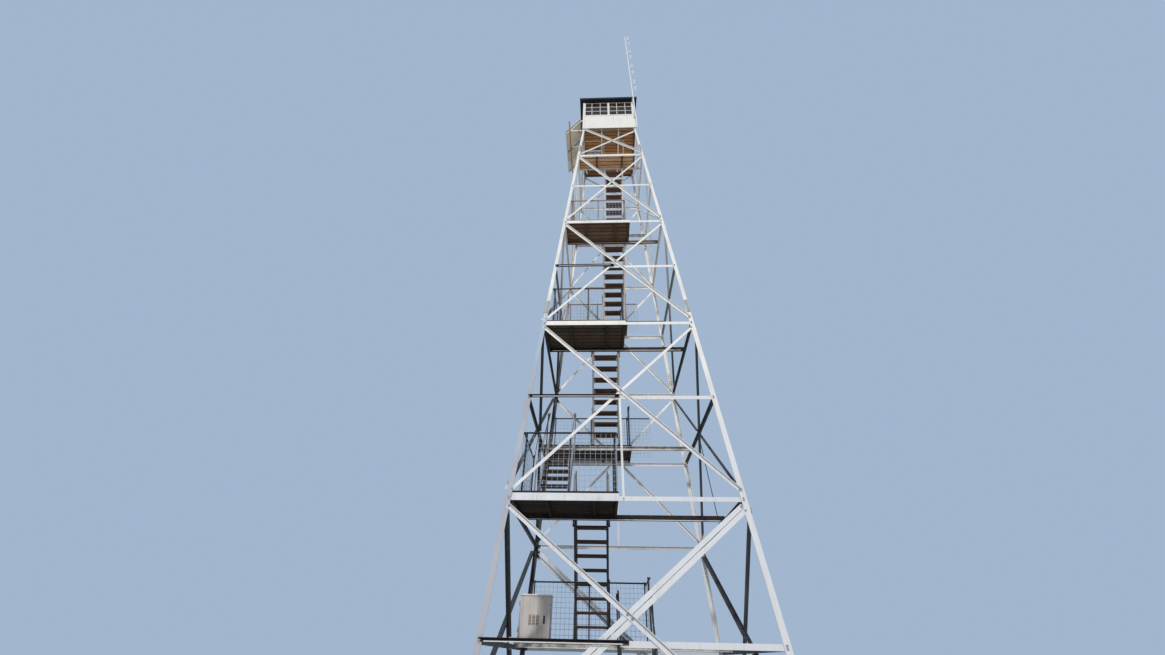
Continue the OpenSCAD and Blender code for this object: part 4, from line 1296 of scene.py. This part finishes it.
def cabinet_door():
    """The door with a folded edge, a raised field, its hinges' knuckles, three louvred vents and screws."""
    low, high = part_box("equipment_case_door")
    case_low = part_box("equipment_case")[0]
    back = CASE_Y - DOOR_GAP
    front = back - DOOR_T
    leaf = bmesh.new()
    x1 = CASE_X + 0.002
    x2 = CASE_X + CASE_W - 0.002
    block(leaf, (x1, front + 0.003, low.z), (x2, back, high.z), bevel=0.003, segments=2)
    block(leaf, (x1 + 0.03, front, low.z + 0.03), (x2 - 0.03, front + 0.004, high.z - 0.03), bevel=0.0015)
    for height in HINGE_HEIGHTS:
        pin = at((CASE_X - HINGE_OUT, back - DOOR_T / 2, LOW_GIRT + DECK_TOP + height))
        knuckle = pin @ at((0, 0, KNUCKLE_H + 0.0003))
        sleeve(leaf, knuckle, 0.008, 0.0043, KNUCKLE_H)
        block(leaf, (0.0065, -0.003, 0), (HINGE_OUT + 0.004, 0.003, KNUCKLE_H), knuckle, bevel=0.0005)
    finish_piece("cabinet_door_leaf", leaf, CABINET, body="equipment_door",
                 stands_for=("equipment_case_door",))
    vents = bmesh.new()
    shadows = bmesh.new()
    vent_w = 0.06
    vent_h = 0.18
    vent_pitch = 0.078
    screw_in = 0.018
    vent_z = case_low.z + 0.235
    for column in range(3):
        a = case_low.x + 0.222 + column * vent_pitch
        b = a + vent_w
        block(shadows, (a, front - 0.0008, vent_z), (b, front + 0.001, vent_z + vent_h), bevel=0.0004)
        for row in range(7):
            slat = at((a + vent_w / 2, front - 0.002, vent_z + 0.014 + row * 0.0252)) @ spin(35, "X")
            block(vents, (-0.029, -0.0012, -0.009), (0.029, 0.0012, 0.009), slat, bevel=0.0008)
        for x in (a - 0.006, b):
            block(vents, (x, front - 0.006, vent_z - 0.004), (x + 0.006, front, vent_z + vent_h + 0.004),
                  bevel=0.001)
    for x, z in itertools.product((x1 + screw_in, x2 - screw_in), (low.z + screw_in, high.z - screw_in)):
        rod(vents, aim((x, front + 0.002, z), (0, -1, 0)), 0.006, 0.003)
    finish_piece("door_vents", vents, LOUVRE_PAINT, body="equipment_door")
    finish_piece("vent_shadows", shadows, BLACK_PLASTIC, body="equipment_door")


def cabinet_handle():
    """A swing handle in its pan, with a lock."""
    low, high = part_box("equipment_door_handle")
    y = high.y
    bm = bmesh.new()
    block(bm, (low.x, y - 0.006, low.z), high, bevel=0.003, segments=2)
    block(bm, (low.x + 0.006, low.y, low.z + 0.012), (high.x - 0.006, y - 0.012, high.z - 0.05),
          bevel=0.005, segments=2)
    block(bm, (low.x + 0.008, y - 0.014, high.z - 0.06), (high.x - 0.008, y - 0.004, high.z - 0.045),
          bevel=0.002)
    rod(bm, aim(((low.x + high.x) / 2, y - 0.006, high.z - 0.02), (0, -1, 0)), 0.009, 0.005, segments=18)
    finish_piece("swing_handle", bm, BLACK_PLASTIC, body="equipment_door",
                 smooth=True, stands_for=("equipment_door_handle",))


def cabinet_cap():
    """The folded cap with its drip lip, and the sheet that closes it from below."""
    low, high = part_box("equipment_case_cap")
    lip = 0.004
    lip_z = low.z + 0.014
    bm = bmesh.new()
    block(bm, (low.x, low.y, low.z + 0.012), high, bevel=0.004, segments=2)
    block(bm, (low.x, low.y, low.z), (high.x, low.y + lip, lip_z), bevel=0.001)
    for a, b in ((low.x, low.x + lip), (high.x - lip, high.x)):
        block(bm, (a, low.y + lip, low.z), (b, high.y, lip_z), bevel=0.001)
    block(bm, (low.x + 0.02, low.y + 0.045, low.z + 0.0005), (high.x - 0.02, high.y - 0.02, low.z + 0.013),
          bevel=0.001)
    finish_piece("folded_cap", bm, CABINET_CAP, stands_for=("equipment_case_cap",))


def cabinet_details():
    """Four bolts at the top of the case and two plates on its side."""
    low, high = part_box("equipment_case")
    bm = bmesh.new()
    for x in (high.x - CASE_W + 0.05, high.x - 0.05):
        for y in (low.y + 0.05, high.y - 0.05):
            rod(bm, aim((x, y, high.z - 0.004), (0, 0, 1)), 0.008, 0.0035, segments=6)
    for z in (low.z + 0.16, low.z + 0.6):
        block(bm, (high.x, 1.08, z), (high.x + 0.003, 1.2, z + 0.03), bevel=0.001)
    steel_piece("cabinet_side_plates", bm)


# Dressing of the nodes that stay as the frame has them


def dress_nodes():
    """Gives each CAD node that stays its material."""
    finishes = {
        STEEL: (
            "front_right_leg", "rear_right_leg", "rear_left_leg", "outer_braces", "inner_braces",
            "centre_hangers", "landing_rims", "cab_floor_joists",
        ),
        LEFT_LEG_STEEL: ("front_left_leg",),
        GIRT_STEEL: ("front_girts", "right_girts", "rear_girts", "left_girts"),
        RUSTY_PIPE: ("solar_rail",),
        STAIR_STEEL: ("stair_stringers", "stair_handrails", "stair_rail_posts"),
        DARK_STEEL_AND_PAINTED_LIGHT: ("front_half_girts", "landing_beams"),
        GUARD_PIPE: ("front_landing_guards", "rear_landing_guards", "landing_guard_posts"),
        PLATE_STEEL: ("base_plates",),
        WHITE_WALLS: ("front_cab_wall", "right_cab_wall", "rear_cab_wall", "left_cab_wall"),
        GLASS: ("window_panes",),
        FASCIA_BOARDS: ("fascia_boards",),
        ROOF_SHEET: ("hip_roof",),
        AERIAL_METAL: ("aerial_mast", "aerial_dipoles", "aerial_clamps"),
        WHITE_BARS: ("solar_brackets",),
        CABINET: ("equipment_case",),
    }
    for material, names in finishes.items():
        for name in names:
            materials = nodes[name].data.materials
            materials.clear()
            materials.append(material)


# Camera, lights and floor


def camera():
    """The photograph's viewpoint: near the ground in front, looking steeply up."""
    data = bpy.data.cameras.new("camera")
    data.sensor_width = 36
    focal_in_pixels = 434.438
    image_width = 1165
    data.lens = focal_in_pixels / image_width * data.sensor_width
    right = Vector((0.99914965, 0.03640684, 0.01935241))
    up = Vector((0.00684122, -0.60924997, 0.79294872))
    forward = Vector((-0.04065922, 0.79214204, 0.60898097))
    place = Matrix((right, up, -forward)).transposed().to_4x4()
    place.translation = Vector((-0.40910588, -9.92690033, 1.60))
    seen = bpy.data.objects.new("camera", data)
    seen.matrix_world = place
    bpy.context.scene.collection.objects.link(seen)
    bpy.context.scene.camera = seen


def floor():
    """A wide pale floor under the piers."""
    bm = bmesh.new()
    floor_radius = 60
    bmesh.ops.create_circle(bm, cap_ends=True, segments=96, radius=floor_radius)
    mesh = bpy.data.meshes.new("floor")
    bm.to_mesh(mesh)
    bm.free()
    finish = Finish("floor_finish", (0.80, 0.775, 0.74), 0.85)
    finish.patches(0.35, 0.3, 0.8, (0.76, 0.74, 0.71), 0.5)
    mesh.materials.append(finish.done())
    ground = bpy.data.objects.new("floor", mesh)
    bpy.context.scene.collection.objects.link(ground)


def world_light():
    """Even light from all round, and a pale blue backdrop for the camera, gloss and glass."""
    world = bpy.data.worlds.new("world")
    world.use_nodes = True
    tree = world.node_tree
    tree.nodes.clear()
    camera_ray, glossy_ray, glass_ray = (
        add(tree, "ShaderNodeLightPath").outputs["Is %s Ray" % kind]
        for kind in ("Camera", "Glossy", "Transmission")
    )
    seen = compute(tree, "MAXIMUM", compute(tree, "MAXIMUM", camera_ray, glossy_ray), glass_ray)
    light, backdrop = (
        add(tree, "ShaderNodeBackground", [("Color", colour), ("Strength", strength)]).outputs[0]
        for colour, strength in (((0.82, 0.90, 1.0, 1), 0.55), ((0.36, 0.47, 0.62, 1), 1.0))
    )
    mix = add(tree, "ShaderNodeMixShader", [(0, seen), (1, light), (2, backdrop)])
    output = add(tree, "ShaderNodeOutputWorld")
    tree.links.new(mix.outputs[0], output.inputs["Surface"])
    bpy.context.scene.world = world


def sun():
    """One low soft sun from the front, a little to the left."""
    data = bpy.data.lights.new("sun", "SUN")
    data.energy = 1.85
    data.angle = math.radians(4)
    data.color = (1.0, 0.96, 0.9)
    lamp = bpy.data.objects.new("sun", data)
    elevation = math.radians(27)
    swing = math.radians(-8)
    lamp.rotation_euler = (math.pi / 2 - elevation, 0, swing)
    bpy.context.scene.collection.objects.link(lamp)


dress_nodes()
pier_blocks()
foot_fixings()
brace_bolts()
girt_bolts()
leg_splices()
deck_boards("front_landing_boards", "front_landing_decks")
deck_boards("rear_landing_boards", "rear_landing_decks")
cab_floor_boards()
tread_planks()
tread_cleats()
joist_shade()
beam_lips()
pipe_fittings()
guard_mesh()
wall_trim()
wall_lining()
sash_frames()
glazing_bars()
ceiling_boards()
roof_seams()
aerial_fittings()
solar_modules()
bracket_details()
cabinet_door()
cabinet_handle()
cabinet_cap()
cabinet_details()
camera()
floor()
world_light()
sun()
bpy.context.scene.view_settings.view_transform = "Standard"
